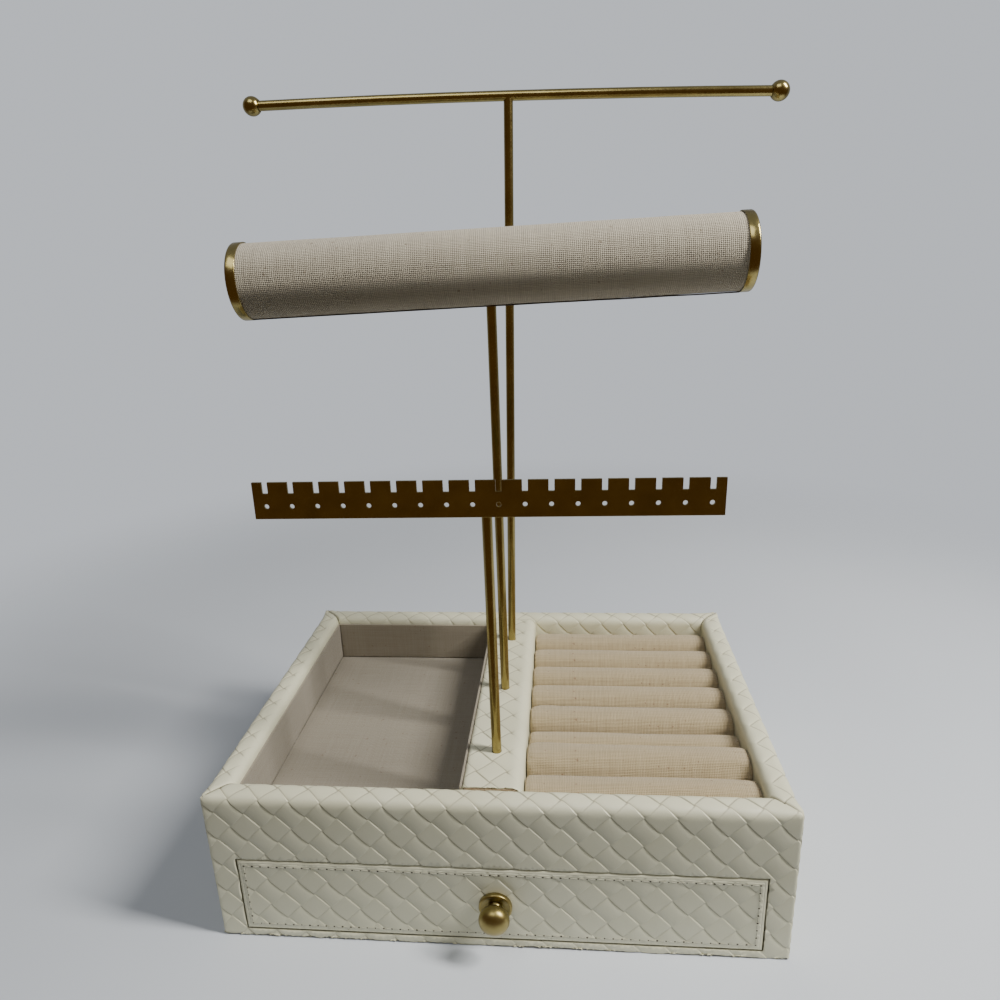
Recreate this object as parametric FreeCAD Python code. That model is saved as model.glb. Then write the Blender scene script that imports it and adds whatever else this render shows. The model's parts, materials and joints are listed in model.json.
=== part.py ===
# Jewelry stand with drawer: a leather-covered base box with a lined tray, a ring tray and a drawer,
# and three posts on its divider, which carry a necklace bar, a bracelet roll and an earring plate.
# Frame: +X to the right, -Y out of the drawer's front, +Z up; origin under the middle of the base.
# Units are millimetres and degrees. Every node below is a separate piece of the object.
import FreeCAD, Part
import math
import os
from FreeCAD import Placement, Rotation, Vector

# ---- driving dimensions: base box ----
base_width = 250.0
base_depth = 177.0
base_height = 75.4
leather = 1.0            # thickness of the leather cover
panel_board = 9.5        # side, back and front boards
rim_round = 4.0          # radius over the top of the leather rim
corner_round = 1.5       # radius of the upright corners, over the leather
bottom_cover = 1.0       # felt sheet that the base stands on
base_board = 3.0
hem_lift = 0.3           # leather ends this far above the table

# ---- driving dimensions: trays and the deck under them ----
tray_depth = 27.6        # from the rim down to the tray's floor
deck_board = 2.5
card_liner = 1.3         # linen on card
liner_reveal = 4.5       # leather left showing above the tray liner
divider_shift = -0.8     # divider and posts stand a little left of the middle
divider_width = 26.0     # over its leather
divider_drop = 0.6       # divider's top below the rim
divider_round = 5.0      # soft edge towards the rings
divider_edge = 1.2       # sharper edge towards the tray
ring_roll_shares = (1, 1, 1, 1, 1, 0.81, 1.12, 1.07)    # of the tray's length, back to front
ring_roll_crown = 1.65   # a roll stands this much taller than wide
crowded_roll_crown = 2.65
crowded_rolls = 3        # this many at the front are squeezed up higher
ring_roll_gap = 0.3      # between rolls
ring_end_gap = 0.4       # between a roll's ends and the walls

# ---- driving dimensions: drawer ----
drawer_gap = 0.5         # round the drawer's front, at its sides and top
drawer_lift = 0.3        # running clearance under the drawer
drawer_side_gap = 0.8    # between the drawer box and the opening's sides
drawer_back_gap = 2.0
front_board = 9.0
drawer_side_board = 6.0
drawer_bottom_board = 3.0
drawer_side_drop = 4.7   # drawer's sides end this far below the opening's top
drawer_edge_round = 1.4
drawer_liner_drop = 1.5  # drawer liner's top below the drawer's sides

# ---- driving dimensions: knob ----
rosette_radius = 7.2
rosette_height = 2.2
rosette_dish = 1.4       # radius of the rosette's rounded rim
knob_ball_radius = 6.6
knob_ball_half_length = 5.0  # the ball is a little flat from front to back
knob_side_round = 4.2        # rounding of the flattened ball's side
knob_neck_radius = 3.0
knob_neck_length = 0.5   # neck left showing between rosette and ball
screw_radius = 1.9
screw_bite = 6.0         # how far the screw reaches into the knob
screw_head_radius = 3.8
screw_head_height = 2.2
washer_radius = 5.0
washer_height = 0.6

# ---- driving dimensions: posts and their seats ----
post_radius = 2.2
post_end_gap = 24.8      # from the outer posts to the divider's ends
stud_radius = 1.9
stud_length = 12.0       # thread below the divider's leather
insert_radius = 3.2
insert_flange_radius = 4.6
insert_flange = 1.2
insert_depth = 15.0
thread_fit = 0.05        # radial clearance of studs and screws in their threads
post_fit = 0.12          # clearance round and under a post's foot

# ---- driving dimensions: necklace stand (back post) ----
necklace_height = 285.5  # from the divider's top to the middle of the bar
necklace_lean_angle = 1.34   # post leans this much towards +X
bar_radius = 2.3
bar_half = 124.2         # from the post to the centre of an end ball
bar_bow = 1.3            # bar's ends hang this far below its middle
end_ball_radius = 4.45
ball_seat = 3.0          # depth of the bar's end inside its ball

# ---- driving dimensions: bracelet stand (middle post) ----
bracelet_height = 209.3  # from the divider's top to the roll's axis
bracelet_turn_angle = 2.2    # roll stands turned by this much, seen from above
bracelet_tilt_angle = 1.36   # roll's +X end is a little high
roll_length = 222.8
tube_radius = 14.9
tube_wall = 1.0
sleeve_thickness = 1.3   # linen over thin padding
cap_skirt = 4.5
cap_wall = 0.5
cap_edge_round = 0.4
saddle_length = 26.0
saddle_thickness = 1.5
saddle_angle = 70.0      # how far the saddle wraps the inside of the tube
nut_height = 3.2
nut_across_flats = 7.0
seam_tape_width = 5.0
seam_tape_thickness = 0.4

# ---- driving dimensions: earring stand (front post) ----
earring_height = 121.1   # from the divider's top to the plate's middle
earring_turn_angle = 1.7
earring_tilt_angle = 0.4 # plate's +X end is a little low
plate_height = 15.7
plate_thickness = 1.2
slot_pitch = 10.56
slot_count = 18
slot_width = 2.3
slot_depth = 4.8
pin_hole_radius = 1.0
pin_hole_height = 5.4    # above the plate's lower edge
post_flat = 0.4          # depth of the flat filed on the post for the plate
post_stop = 2.0          # post ends this far below the plate's upper edge

# ---- worked out from the dimensions above ----
wall = panel_board + 2 * leather
half_width = base_width / 2
half_depth = base_depth / 2
inner_half_width = half_width - wall          # between the leather inside the rim
inner_half_depth = half_depth - wall
bay_half_width = half_width - leather - panel_board
bay_half_depth = half_depth - leather - panel_board
board_top = base_height - leather
bay_floor = bottom_cover + base_board
opening_half = inner_half_width               # opening's sides line up with the trays' walls
tray_floor = base_height - tray_depth
deck_top = tray_floor - card_liner
deck_bottom = deck_top - deck_board           # front rail and deck end level
opening_top = deck_bottom - leather           # leather turns under the rail
divider_left = divider_shift - divider_width / 2
divider_right = divider_shift + divider_width / 2
divider_top = base_height - divider_drop
core_top = divider_top - leather
post_pitch = inner_half_depth - post_end_gap
FIT = 0.02               # keeps welded and glued curved faces from overlapping
OVERSHOOT = 1.0          # cutters reach this far past what they cut

X = Vector(1, 0, 0)
Y = Vector(0, 1, 0)
Z = Vector(0, 0, 1)
ORIGIN = Vector(0, 0, 0)


def save(node, shape):
    """Write one piece to its own STEP file."""
    shape.removeSplitter().exportStep("parts/%s.step" % node)


def block(x, y, z):
    """A box from three (low, high) pairs."""
    return Part.makeBox(x[1] - x[0], y[1] - y[0], z[1] - z[0], Vector(x[0], y[0], z[0]))


def rod(start, direction, length, radius):
    return Part.makeCylinder(radius, length, start, direction)


def tube(start, direction, length, outer, inner):
    return rod(start, direction, length, outer).cut(rod(start, direction, length, inner))


def round_edges(shape, radius, wanted):
    """Round the straight edges whose middle passes the test `wanted`."""
    edges = [edge for edge in shape.Edges if wanted(edge.CenterOfMass)]
    return shape.makeFillet(radius, edges)


def sphere(centre, radius):
    """A ball whose seam faces +Y, away from holes bored along X."""
    ball = Part.makeSphere(radius, centre)
    ball.rotate(centre, Z, 90)
    return ball


# ---- base box ----

def walls(half_x, half_y, thickness, low, top, radius):
    """The four walls of the box as one ring, with both top edges rounded."""
    ring = block((-half_x, half_x), (-half_y, half_y), (low, top))
    ring = ring.cut(block(
        (-half_x + thickness, half_x - thickness),
        (-half_y + thickness, half_y - thickness),
        (low - OVERSHOOT, top + OVERSHOOT),
    ))
    return round_edges(ring, radius, lambda middle: abs(middle.z - top) < FIT)


def board_ring():
    """All boards of the walls together, before they are cut apart."""
    return walls(
        half_width - leather, half_depth - leather, panel_board, bay_floor, board_top, rim_round - leather
    )


def make_boards():
    ring = board_ring()
    deep = (-half_depth, half_depth)
    between = (-bay_half_width, bay_half_width)
    tall = (0, base_height)
    save("left_panel", ring.common(block((-half_width, -bay_half_width), deep, tall)))
    save("right_panel", ring.common(block((bay_half_width, half_width), deep, tall)))
    save("back_panel", ring.common(block(between, (bay_half_depth, half_depth), tall)))
    rail_space = block(between, (-half_depth, -bay_half_depth), (deck_bottom, base_height))
    save("front_rail", ring.common(rail_space))
    floor_x = (-half_width + leather, half_width - leather)
    floor_y = (-half_depth + leather, half_depth - leather)
    save("bottom_cover", block(floor_x, floor_y, (0, bottom_cover)))
    save("base_board", block(floor_x, floor_y, (bottom_cover, bay_floor)))
    deck_y = (-bay_half_depth, bay_half_depth)
    save("tray_deck", block(between, deck_y, (deck_bottom, deck_top)))


def mitre_wedge(side):
    """The part of the walls between the diagonals of two corners: front, back, left or right."""
    outer = [(-half_width, -half_depth), (half_width, -half_depth)]
    inner = [(inner_half_width, -inner_half_depth), (-inner_half_width, -inner_half_depth)]
    if side in ("left", "right"):
        outer = [(-half_width, half_depth), (-half_width, -half_depth)]
        inner = [(-inner_half_width, -inner_half_depth), (-inner_half_width, inner_half_depth)]
    flip = -1 if side in ("back", "right") else 1
    corners = [Vector(flip * x, flip * y, 0) for x, y in outer + inner]
    wedge = Part.Face(Part.makePolygon(corners + corners[:1]))
    return wedge.extrude(Z * (base_height + OVERSHOOT))


def make_leather_cover():
    """Leather over the walls and down inside the rim to the deck, in four pieces with mitred corners.

    The front piece also turns back round the sides and top of the drawer opening.
    """
    cover = walls(half_width, half_depth, wall, hem_lift, base_height, rim_round)
    outline = block((-half_width, half_width), (-half_depth, half_depth), (0, base_height))
    corners = lambda middle: abs(middle.z - base_height / 2) < FIT
    cover = cover.common(round_edges(outline, corner_round, corners))
    boards = board_ring()
    bay_x = (-bay_half_width, bay_half_width)
    below_rail = block(bay_x, (-half_depth, -bay_half_depth), (bay_floor, deck_bottom))
    cover = cover.cut(boards.cut(below_rail))
    cover = cover.cut(block(
        (-half_width + leather, half_width - leather),
        (-half_depth + leather, half_depth - leather),
        (0, bay_floor),
    ))
    cover = cover.cut(block(bay_x, (-bay_half_depth, bay_half_depth), (0, deck_top)))
    opening = (-opening_half, opening_half)
    cover = cover.cut(block(opening, (-half_depth - OVERSHOOT, -bay_half_depth), (bay_floor, opening_top)))
    for side in ("front", "back", "left", "right"):
        save("leather_" + side, cover.common(mitre_wedge(side)))


# ---- divider with the three post seats ----

def post_feet():
    """Front, middle and back post positions at the divider's top."""
    return [Vector(divider_shift, row * post_pitch, divider_top) for row in (-1, 0, 1)]


def make_divider():
    """Divider block, its leather, and the threaded inserts that hold the posts."""
    length = (-inner_half_depth, inner_half_depth)
    body = block((divider_left, divider_right), length, (deck_top, divider_top))
    soft = lambda middle: middle.x > divider_right - FIT and middle.z > divider_top - FIT
    sharp = lambda middle: middle.x < divider_left + FIT and middle.z > divider_top - FIT
    body = round_edges(round_edges(body, divider_round, soft), divider_edge, sharp)
    core = block((divider_left + leather, divider_right - leather), length, (deck_top, core_top))
    soft_core = lambda middle: middle.x > divider_right - leather - FIT and middle.z > core_top - FIT
    core = round_edges(core, divider_round - leather, soft_core)
    skin = body.cut(core)
    inserts = []
    for foot in post_feet():
        seat = Vector(foot.x, foot.y, core_top)
        outer = rod(seat, -Z, insert_depth, insert_radius).fuse(
            rod(seat, -Z, insert_flange, insert_flange_radius))
        core = core.cut(rod(seat, -Z, insert_depth + FIT, insert_radius + FIT))
        core = core.cut(rod(seat, -Z, insert_flange + FIT, insert_flange_radius + FIT))
        bore = rod(seat + Z * OVERSHOOT, -Z, insert_depth, stud_radius + thread_fit)
        inserts.append(outer.cut(bore))
        skin = skin.cut(rod(seat - Z * OVERSHOOT, Z, leather + 2 * OVERSHOOT, post_radius + post_fit))
    save("divider_core", core)
    save("divider_leather", skin)
    save("post_inserts", Part.makeCompound(inserts))


# ---- tray liners and ring rolls ----

def make_tray():
    """Linen-covered cards on the floor and walls of the open tray."""
    left = -inner_half_width
    right = divider_left
    front = -inner_half_depth
    back = inner_half_depth
    low_wall = (tray_floor, base_height - liner_reveal)
    save("tray_floor_liner", block((left, right), (front, back), (deck_top, tray_floor)))
    save("tray_liner_left", block((left, left + card_liner), (front, back), low_wall))
    save("tray_liner_right", block((right - card_liner, right), (front, back), (tray_floor, divider_top)))
    between = (left + card_liner, right - card_liner)
    save("tray_liner_front", block(between, (front, front + card_liner), low_wall))
    save("tray_liner_back", block(between, (back - card_liner, back), low_wall))


def ring_roll(low_x, high_x, y, width, crown):
    """A foam roll, a little taller than wide, lying along X on the ring tray's card."""
    radius = width / 2
    bottom = Vector(low_x, y, tray_floor + radius)
    ends = rod(bottom, X, high_x - low_x, radius).fuse(
        rod(bottom + Z * crown, X, high_x - low_x, radius))
    middle = block((low_x, high_x), (y - radius, y + radius), (bottom.z, bottom.z + crown))
    return ends.fuse(middle)


def make_ring_tray():
    across = (divider_right, inner_half_width)
    save("ring_tray_card", block(across, (-inner_half_depth, inner_half_depth), (deck_top, tray_floor)))
    ends = (across[0] + ring_end_gap, across[1] - ring_end_gap)
    first_crowded = len(ring_roll_shares) - crowded_rolls
    back = inner_half_depth
    for number, share in enumerate(ring_roll_shares):
        space = 2 * inner_half_depth * share / sum(ring_roll_shares)
        crown = ring_roll_crown if number < first_crowded else crowded_roll_crown
        roll = ring_roll(ends[0], ends[1], back - space / 2, space - ring_roll_gap, crown)
        save("ring_roll_%d" % (number + 1), roll)
        back -= space


# ---- drawer ----

drawer_half = opening_half - drawer_gap
drawer_box_half = opening_half - drawer_side_gap
drawer_low = bay_floor + drawer_lift
drawer_high = opening_top - drawer_gap
front_face = -half_depth
front_back = front_face + leather + front_board
drawer_end = bay_half_depth - drawer_back_gap
drawer_floor = drawer_low + drawer_bottom_board
drawer_side_top = opening_top - drawer_side_drop
knob_height = (drawer_low + drawer_high) / 2


def drill_for_knob(shape):
    """Clearance hole for the knob's screw."""
    start = Vector(0, front_face - OVERSHOOT, knob_height)
    depth = front_back - front_face + card_liner + 2 * OVERSHOOT
    return shape.cut(rod(start, Y, depth, screw_radius + thread_fit))


def make_drawer_front():
    face = block((-drawer_half, drawer_half), (front_face, front_back), (drawer_low, drawer_high))
    face = round_edges(face, drawer_edge_round, lambda middle: abs(middle.y - front_face) < FIT)
    board = block(
        (-drawer_half + leather, drawer_half - leather),
        (front_face + leather, front_back),
        (drawer_low + leather, drawer_high - leather),
    )
    save("drawer_front_leather", drill_for_knob(face.cut(board)))
    save("drawer_front_board", drill_for_knob(board))


def make_drawer_box():
    box_x = (-drawer_box_half, drawer_box_half)
    inner = drawer_box_half - drawer_side_board
    sides_z = (drawer_floor, drawer_side_top)
    long = (front_back, drawer_end)
    save("drawer_bottom", block(box_x, long, (drawer_low, drawer_floor)))
    save("drawer_side_left", block((-drawer_box_half, -inner), long, sides_z))
    save("drawer_side_right", block((inner, drawer_box_half), long, sides_z))
    back_y = (drawer_end - drawer_side_board, drawer_end)
    save("drawer_back", block((-inner, inner), back_y, sides_z))
    liner_low = drawer_floor + card_liner
    liner_z = (liner_low, drawer_side_top - drawer_liner_drop)
    clear = (front_back, back_y[0])
    save("drawer_floor_liner", block((-inner, inner), clear, (drawer_floor, liner_low)))
    save("drawer_liner_left", block((-inner, -inner + card_liner), clear, liner_z))
    save("drawer_liner_right", block((inner - card_liner, inner), clear, liner_z))
    between = (-inner + card_liner, inner - card_liner)
    front_card = block(between, (front_back, front_back + card_liner), liner_z)
    save("drawer_liner_front", drill_for_knob(front_card))
    save("drawer_liner_back", block(between, (back_y[0] - card_liner, back_y[0]), liner_z))


def flattened_ball(centre, radius, half_length, side_round):
    """Ball shorter along Y than it is wide: a shallow cap at each end, joined by a rounded side."""
    side_centre = X * (radius - side_round)
    cap_radius = (side_centre.x ** 2 + half_length ** 2 - side_round ** 2) / (2 * (half_length - side_round))
    half_outline = []
    for end in (-1, 1):
        cap_centre = Y * end * (half_length - cap_radius)
        outward = (side_centre - cap_centre).normalize()
        join = cap_centre + outward * cap_radius
        middle = cap_centre + (outward + Y * end).normalize() * cap_radius
        half_outline.append((Y * end * half_length, middle, join))
    low, high = half_outline
    edges = [
        Part.Arc(centre + low[0], centre + low[1], centre + low[2]).toShape(),
        Part.Arc(centre + low[2], centre + X * radius, centre + high[2]).toShape(),
        Part.Arc(centre + high[2], centre + high[1], centre + high[0]).toShape(),
        Part.makeLine(centre + high[0], centre + low[0]),
    ]
    return Part.Face(Part.Wire(edges)).revolve(centre, Y, 360)


def make_knob():
    """Rosette, turned knob, and the screw and washer that hold them from inside the drawer."""
    middle = Vector(0, front_face, knob_height)
    rosette = rod(middle, -Y, rosette_height, rosette_radius)
    outer_rim = lambda point: point.y < front_face - rosette_height + FIT
    rosette = round_edges(rosette, rosette_dish, outer_rim)
    save("knob_rosette", drill_for_knob(rosette).cut(
        rod(middle, -Y, rosette_height + OVERSHOOT, screw_radius + thread_fit)))
    neck_start = middle - Y * rosette_height
    neck_reach = knob_neck_length + knob_ball_half_length
    ball_centre = neck_start - Y * neck_reach
    ball = flattened_ball(ball_centre, knob_ball_radius, knob_ball_half_length, knob_side_round)
    turned_knob = ball.fuse(rod(neck_start, -Y, neck_reach, knob_neck_radius))
    save("knob", turned_knob.cut(
        rod(neck_start + Y * OVERSHOOT, -Y, screw_bite + 2 * OVERSHOOT, screw_radius + thread_fit)))
    card_face = Vector(0, front_back + card_liner, knob_height)
    shank_length = card_face.y - neck_start.y + screw_bite
    washer = tube(card_face, Y, washer_height, washer_radius, screw_radius + thread_fit)
    save("knob_washer", washer)
    head_face = card_face + Y * washer_height
    head = rod(head_face, Y, screw_head_height, screw_head_radius)
    head = round_edges(head, screw_head_height / 2, lambda point: point.y > head_face.y + FIT
                       and abs(point.y - head_face.y - screw_head_height) < FIT)
    shank = rod(head_face, -Y, shank_length + washer_height, screw_radius)
    save("knob_screw", head.fuse(shank))


# ---- posts ----

def stand_placement(foot, turn):
    """From a stand's own frame, with the foot at its origin, to its place on the divider."""
    return Placement(foot, Rotation(Z, turn))


def placed(shape, *placements):
    """A copy moved by each placement in turn."""
    moved = shape.copy()
    for placement in placements:
        moved.Placement = placement.multiply(moved.Placement)
    return moved


def post(length, lean=0.0):
    """Upright rod with a threaded stud below its foot; the rod alone may lean."""
    foot_depth = leather - post_fit
    upright = rod(-Z * foot_depth, Z, foot_depth + length, post_radius)
    upright.Placement = Placement(ORIGIN, Rotation(Y, lean)).multiply(upright.Placement)
    stud = rod(-Z * (foot_depth / 2), -Z, foot_depth / 2 + post_fit + stud_length, stud_radius)
    return upright.fuse(stud)


# ---- necklace stand ----

bar_bend = (bar_half ** 2 + bar_bow ** 2) / (2 * bar_bow)   # radius that the bar is bent to


def bowed_bar():
    """A rod bent to a large circle, its middle at the origin and its ends hanging down."""
    half_length = bar_half - end_ball_radius + ball_seat
    half_angle = math.degrees(half_length / bar_bend)
    section = Part.Face(Part.Wire(Part.makeCircle(bar_radius, ORIGIN, X)))
    centre = -Z * bar_bend
    section.rotate(centre, Y, -half_angle)
    return section.revolve(centre, Y, 2 * half_angle)


def end_ball(side):
    """Ball with a blind hole for the bar's end; side is -1 or 1 along X."""
    centre = Vector(side * bar_half, 0, -bar_bow)
    slope = math.asin(bar_half / bar_bend)
    inward = Vector(-side * math.cos(slope), 0, math.sin(slope))
    hole_end = centre + inward * (end_ball_radius - ball_seat - FIT)
    hole = rod(hole_end, inward, end_ball_radius, bar_radius + FIT)
    return sphere(centre, end_ball_radius).cut(hole)


def make_necklace_stand(foot):
    seat = stand_placement(foot, 0.0)
    lean = Placement(ORIGIN, Rotation(Y, necklace_lean_angle))
    lift = Placement(Z * necklace_height, Rotation())
    save("necklace_bar", placed(bowed_bar(), lift, lean, seat))
    for name, side in (("left", -1), ("right", 1)):
        save("necklace_ball_" + name, placed(end_ball(side), lift, lean, seat))
    upright = placed(post(necklace_height, necklace_lean_angle), seat)
    coping = rod(-X * bar_radius * 2, X, bar_radius * 4, bar_radius + FIT)
    save("necklace_post", upright.cut(placed(coping, lift, lean, seat)))


# ---- bracelet stand ----

def make_bracelet_stand(foot):
    """Linen-covered tube with metal caps, held on its post by a saddle and a nut inside."""
    seat = stand_placement(foot, bracelet_turn_angle)
    tilt = Placement(Z * bracelet_height, Rotation(Y, -bracelet_tilt_angle))
    half = roll_length / 2
    inside = half - cap_wall
    sleeve_radius = tube_radius + sleeve_thickness
    cap_radius = sleeve_radius + FIT + cap_wall
    under_tube = bracelet_height - tube_radius - post_fit
    stud_top = bracelet_height - tube_radius + tube_wall + saddle_thickness + nut_height + OVERSHOOT
    upright = post(under_tube).fuse(rod(ORIGIN, Z, stud_top, stud_radius))
    save("bracelet_post", placed(upright, seat))
    stud_hole = placed(rod(ORIGIN, Z, bracelet_height, stud_radius + thread_fit), seat)
    post_hole = placed(rod(ORIGIN, Z, bracelet_height, post_radius + post_fit), seat)

    pipe = tube(-X * inside, X, 2 * inside, tube_radius, tube_radius - tube_wall)
    save("bracelet_tube", placed(pipe, tilt, seat).cut(stud_hole))
    sleeve_half = inside - FIT
    sleeve = tube(-X * sleeve_half, X, 2 * sleeve_half, sleeve_radius, tube_radius + FIT)
    save("bracelet_sleeve", placed(sleeve, tilt, seat).cut(post_hole))

    saddle_outer = tube_radius - tube_wall - FIT
    saddle = tube(-X * saddle_length / 2, X, saddle_length, saddle_outer, saddle_outer - saddle_thickness)
    reach = saddle_outer * math.sin(math.radians(saddle_angle / 2))
    strip = block((-saddle_length, saddle_length), (-reach, reach), (-2 * saddle_outer, 0))
    save("bracelet_saddle", placed(saddle.common(strip), tilt, seat).cut(stud_hole))

    corner_radius = nut_across_flats / 2 / math.cos(math.radians(30))
    corners = [Rotation(Z, 60 * step).multVec(X * corner_radius) for step in range(6)]
    nut = Part.Face(Part.makePolygon(corners + corners[:1])).extrude(Z * nut_height)
    flat_drop = saddle_outer - saddle_thickness
    edge_rise = flat_drop - math.sqrt(flat_drop ** 2 - corner_radius ** 2)
    lean_rise = corner_radius * math.sin(math.radians(bracelet_tilt_angle))
    nut_low = bracelet_height - flat_drop + edge_rise + lean_rise + FIT
    save("bracelet_nut", placed(nut, Placement(Z * nut_low, Rotation()), seat).cut(stud_hole))

    tape = tube(-X * (half - cap_skirt), X, roll_length - 2 * cap_skirt,
                sleeve_radius + seam_tape_thickness, sleeve_radius + FIT)
    tape = tape.common(block((-half, half), (-seam_tape_width / 2, seam_tape_width / 2), (-half, 0)))
    save("bracelet_seam_tape", placed(tape, tilt, seat).cut(post_hole))

    for name, side in (("left", -1), ("right", 1)):
        cup = rod(X * side * half, -X * side, cap_skirt, cap_radius)
        at_end = lambda point: abs(abs(point.x) - half) < FIT
        cup = round_edges(cup, cap_edge_round, at_end)
        hollow = rod(X * side * inside, -X * side, cap_skirt, sleeve_radius + FIT)
        save("bracelet_cap_" + name, placed(cup.cut(hollow), tilt, seat))


# ---- earring stand ----

def make_earring_stand(foot):
    """Slotted and drilled plate on a flat at the top of its post."""
    seat = stand_placement(foot, earring_turn_angle)
    tilt = Placement(Z * earring_height, Rotation(Y, earring_tilt_angle))
    length = slot_count * slot_pitch
    half_height = plate_height / 2
    back = -post_radius + post_flat
    plate = block((-length / 2, length / 2), (back - plate_thickness, back), (-half_height, half_height))
    through = (back - plate_thickness - OVERSHOOT, back + OVERSHOOT)
    for number in range(slot_count):
        x = (number + 0.5) * slot_pitch - length / 2
        slot_x = (x - slot_width / 2, x + slot_width / 2)
        plate = plate.cut(block(slot_x, through, (half_height - slot_depth, half_height + OVERSHOOT)))
        hole_start = Vector(x, through[0], pin_hole_height - half_height)
        plate = plate.cut(rod(hole_start, Y, through[1] - through[0], pin_hole_radius))
    save("earring_plate", placed(plate, tilt, seat))
    upright = post(earring_height + half_height - post_stop)
    flat_low = earring_height - half_height - FIT
    flat_space = block((-post_radius, post_radius), (-2 * post_radius, back),
                       (flat_low, flat_low + 2 * plate_height))
    save("earring_post", placed(upright.cut(flat_space), seat))


def main():
    os.makedirs("parts", exist_ok=True)
    make_boards()
    make_leather_cover()
    make_divider()
    make_tray()
    make_ring_tray()
    make_drawer_front()
    make_drawer_box()
    make_knob()
    front_foot, middle_foot, back_foot = post_feet()
    make_earring_stand(front_foot)
    make_bracelet_stand(middle_foot)
    make_necklace_stand(back_foot)


main()
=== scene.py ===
# Looks of the jewelry stand with drawer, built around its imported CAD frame.
# Frame as in the CAD: +X to the right, -Y out of the drawer's front, +Z up, metres.
import json
import math

import bmesh
import bpy
import numpy as np
from mathutils import Matrix, Vector, noise


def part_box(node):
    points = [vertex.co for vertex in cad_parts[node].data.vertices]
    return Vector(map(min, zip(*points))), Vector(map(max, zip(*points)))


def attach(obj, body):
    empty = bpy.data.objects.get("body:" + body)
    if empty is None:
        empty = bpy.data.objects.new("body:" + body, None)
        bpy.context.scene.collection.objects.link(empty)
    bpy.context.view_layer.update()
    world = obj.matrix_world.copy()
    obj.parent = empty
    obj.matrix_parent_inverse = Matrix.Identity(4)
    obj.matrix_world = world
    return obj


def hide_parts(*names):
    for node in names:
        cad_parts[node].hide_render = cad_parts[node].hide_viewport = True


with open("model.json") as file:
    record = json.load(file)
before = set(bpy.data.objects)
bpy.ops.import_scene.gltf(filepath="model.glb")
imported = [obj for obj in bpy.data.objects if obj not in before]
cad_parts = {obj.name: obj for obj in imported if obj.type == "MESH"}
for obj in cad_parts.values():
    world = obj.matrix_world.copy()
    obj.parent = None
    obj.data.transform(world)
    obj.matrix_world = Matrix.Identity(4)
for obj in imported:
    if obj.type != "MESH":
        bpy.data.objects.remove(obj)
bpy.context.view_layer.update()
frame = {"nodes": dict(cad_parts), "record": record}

MM = 0.001
X = Vector((1, 0, 0))
Y = Vector((0, 1, 0))
Z = Vector((0, 0, 1))
QUARTER_TURN = math.pi / 2
FULL_TURN = 2 * math.pi
TINY = 0.02 * MM                 # points closer than this to a cut count as lying on it

# ---- sizes of the CAD frame that the pieces below are built on ----
FRONT_LOW, FRONT_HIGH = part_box("leather_front")
HALF_WIDTH = FRONT_HIGH.x
HALF_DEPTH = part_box("leather_back")[1].y
HEM = FRONT_LOW.z
RIM_TOP = FRONT_HIGH.z
LEATHER = 1.0 * MM
WALL = 11.5 * MM                 # leather, board, leather
RIM_ROUND = 4.0 * MM
FACE_TOP = RIM_TOP - RIM_ROUND
CORNER_ROUND = 1.5 * MM
DECK_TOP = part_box("tray_deck")[1].z
DRAWER_LOW, DRAWER_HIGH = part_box("drawer_front_leather")
DRAWER_MIDDLE = (DRAWER_LOW.z + DRAWER_HIGH.z) / 2
OPENING_HALF = HALF_WIDTH - WALL
OPENING_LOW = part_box("base_board")[1].z
OPENING_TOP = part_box("front_rail")[0].z - LEATHER
DIVIDER_LOW, DIVIDER_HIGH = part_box("divider_leather")
POST_X = -0.8 * MM
POST_PITCH = 52.2 * MM

# ---- weave pressed into the leather ----
# From one crossing of strips to the next, in the flat hide: down to the right, and up to the right.
DOWN_RIGHT = np.array((6.72, -7.16)) * MM
UP_RIGHT = np.array((6.72, 6.90)) * MM
TILE_SAMPLES = (0.022, 0.075, 0.15, 0.30, 0.50, 0.70, 0.85, 0.925, 0.978)
STRIP_DIVE = 0.46 * MM           # how far a strip's ends go down under its neighbours
DIVE_POWER = 3.4                 # a strip stays level for longer, then dives faster, as this grows
SHALLOW_DIVE = 0.60              # the dive of the strips that run down, as a share
STRIP_CROWN = 0.05 * MM
STRIP_EDGE = 0.03 * MM           # rounding along a strip's sides
EDGE_POWER = 12
STRIP_BULGE = 0.010              # how far a strip's sides bow out, as a share of a tile
STRIP_LIFT = 0.03 * MM           # one strip lies a little higher than the next
LIFT_SCATTER = (12.9898, 78.233)  # uneven steps, so that no row of strips repeats
PAINTED_SHADE_ENDS = (0.86, 0.94)         # where the painted shade starts and is full, from a strip's middle to its end
SHALLOW_PAINTED_SHADE = 0.5               # the painted shade of the strips that run down, as a share
TOP_PAINTED_SHADE = 1.5                   # strength of the painted shade on level rims; on upright faces it is 1
GAP_PAINTED_SHADE = 1.7                   # painted shade on the hide inside the drawer's gap
HIDE_THICKNESS = 0.35 * MM
GAP_FLAP = WALL - 2.2 * MM       # hide turned in at the opening's top and sides
SILL_FLAP = 0.9 * MM             # hide turned in at its sill, up to the board behind it


def smoothstep(low, high, value):
    t = np.clip((value - low) / (high - low), 0.0, 1.0)
    return t * t * (3 - 2 * t)


def turns(sides):
    """Angles at even steps round a full turn."""
    return [FULL_TURN * side / sides for side in range(sides)]


def rotation(degrees, axis):
    return Matrix.Rotation(math.radians(degrees), 4, axis)


def link(name, mesh):
    piece = bpy.data.objects.new(name, mesh)
    bpy.context.scene.collection.objects.link(piece)
    return piece


def new_piece(name, points, faces):
    mesh = bpy.data.meshes.new(name)
    mesh.from_pydata([tuple(p) for p in points], [], [tuple(f) for f in faces])
    mesh.update()
    return link(name, mesh)


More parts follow.
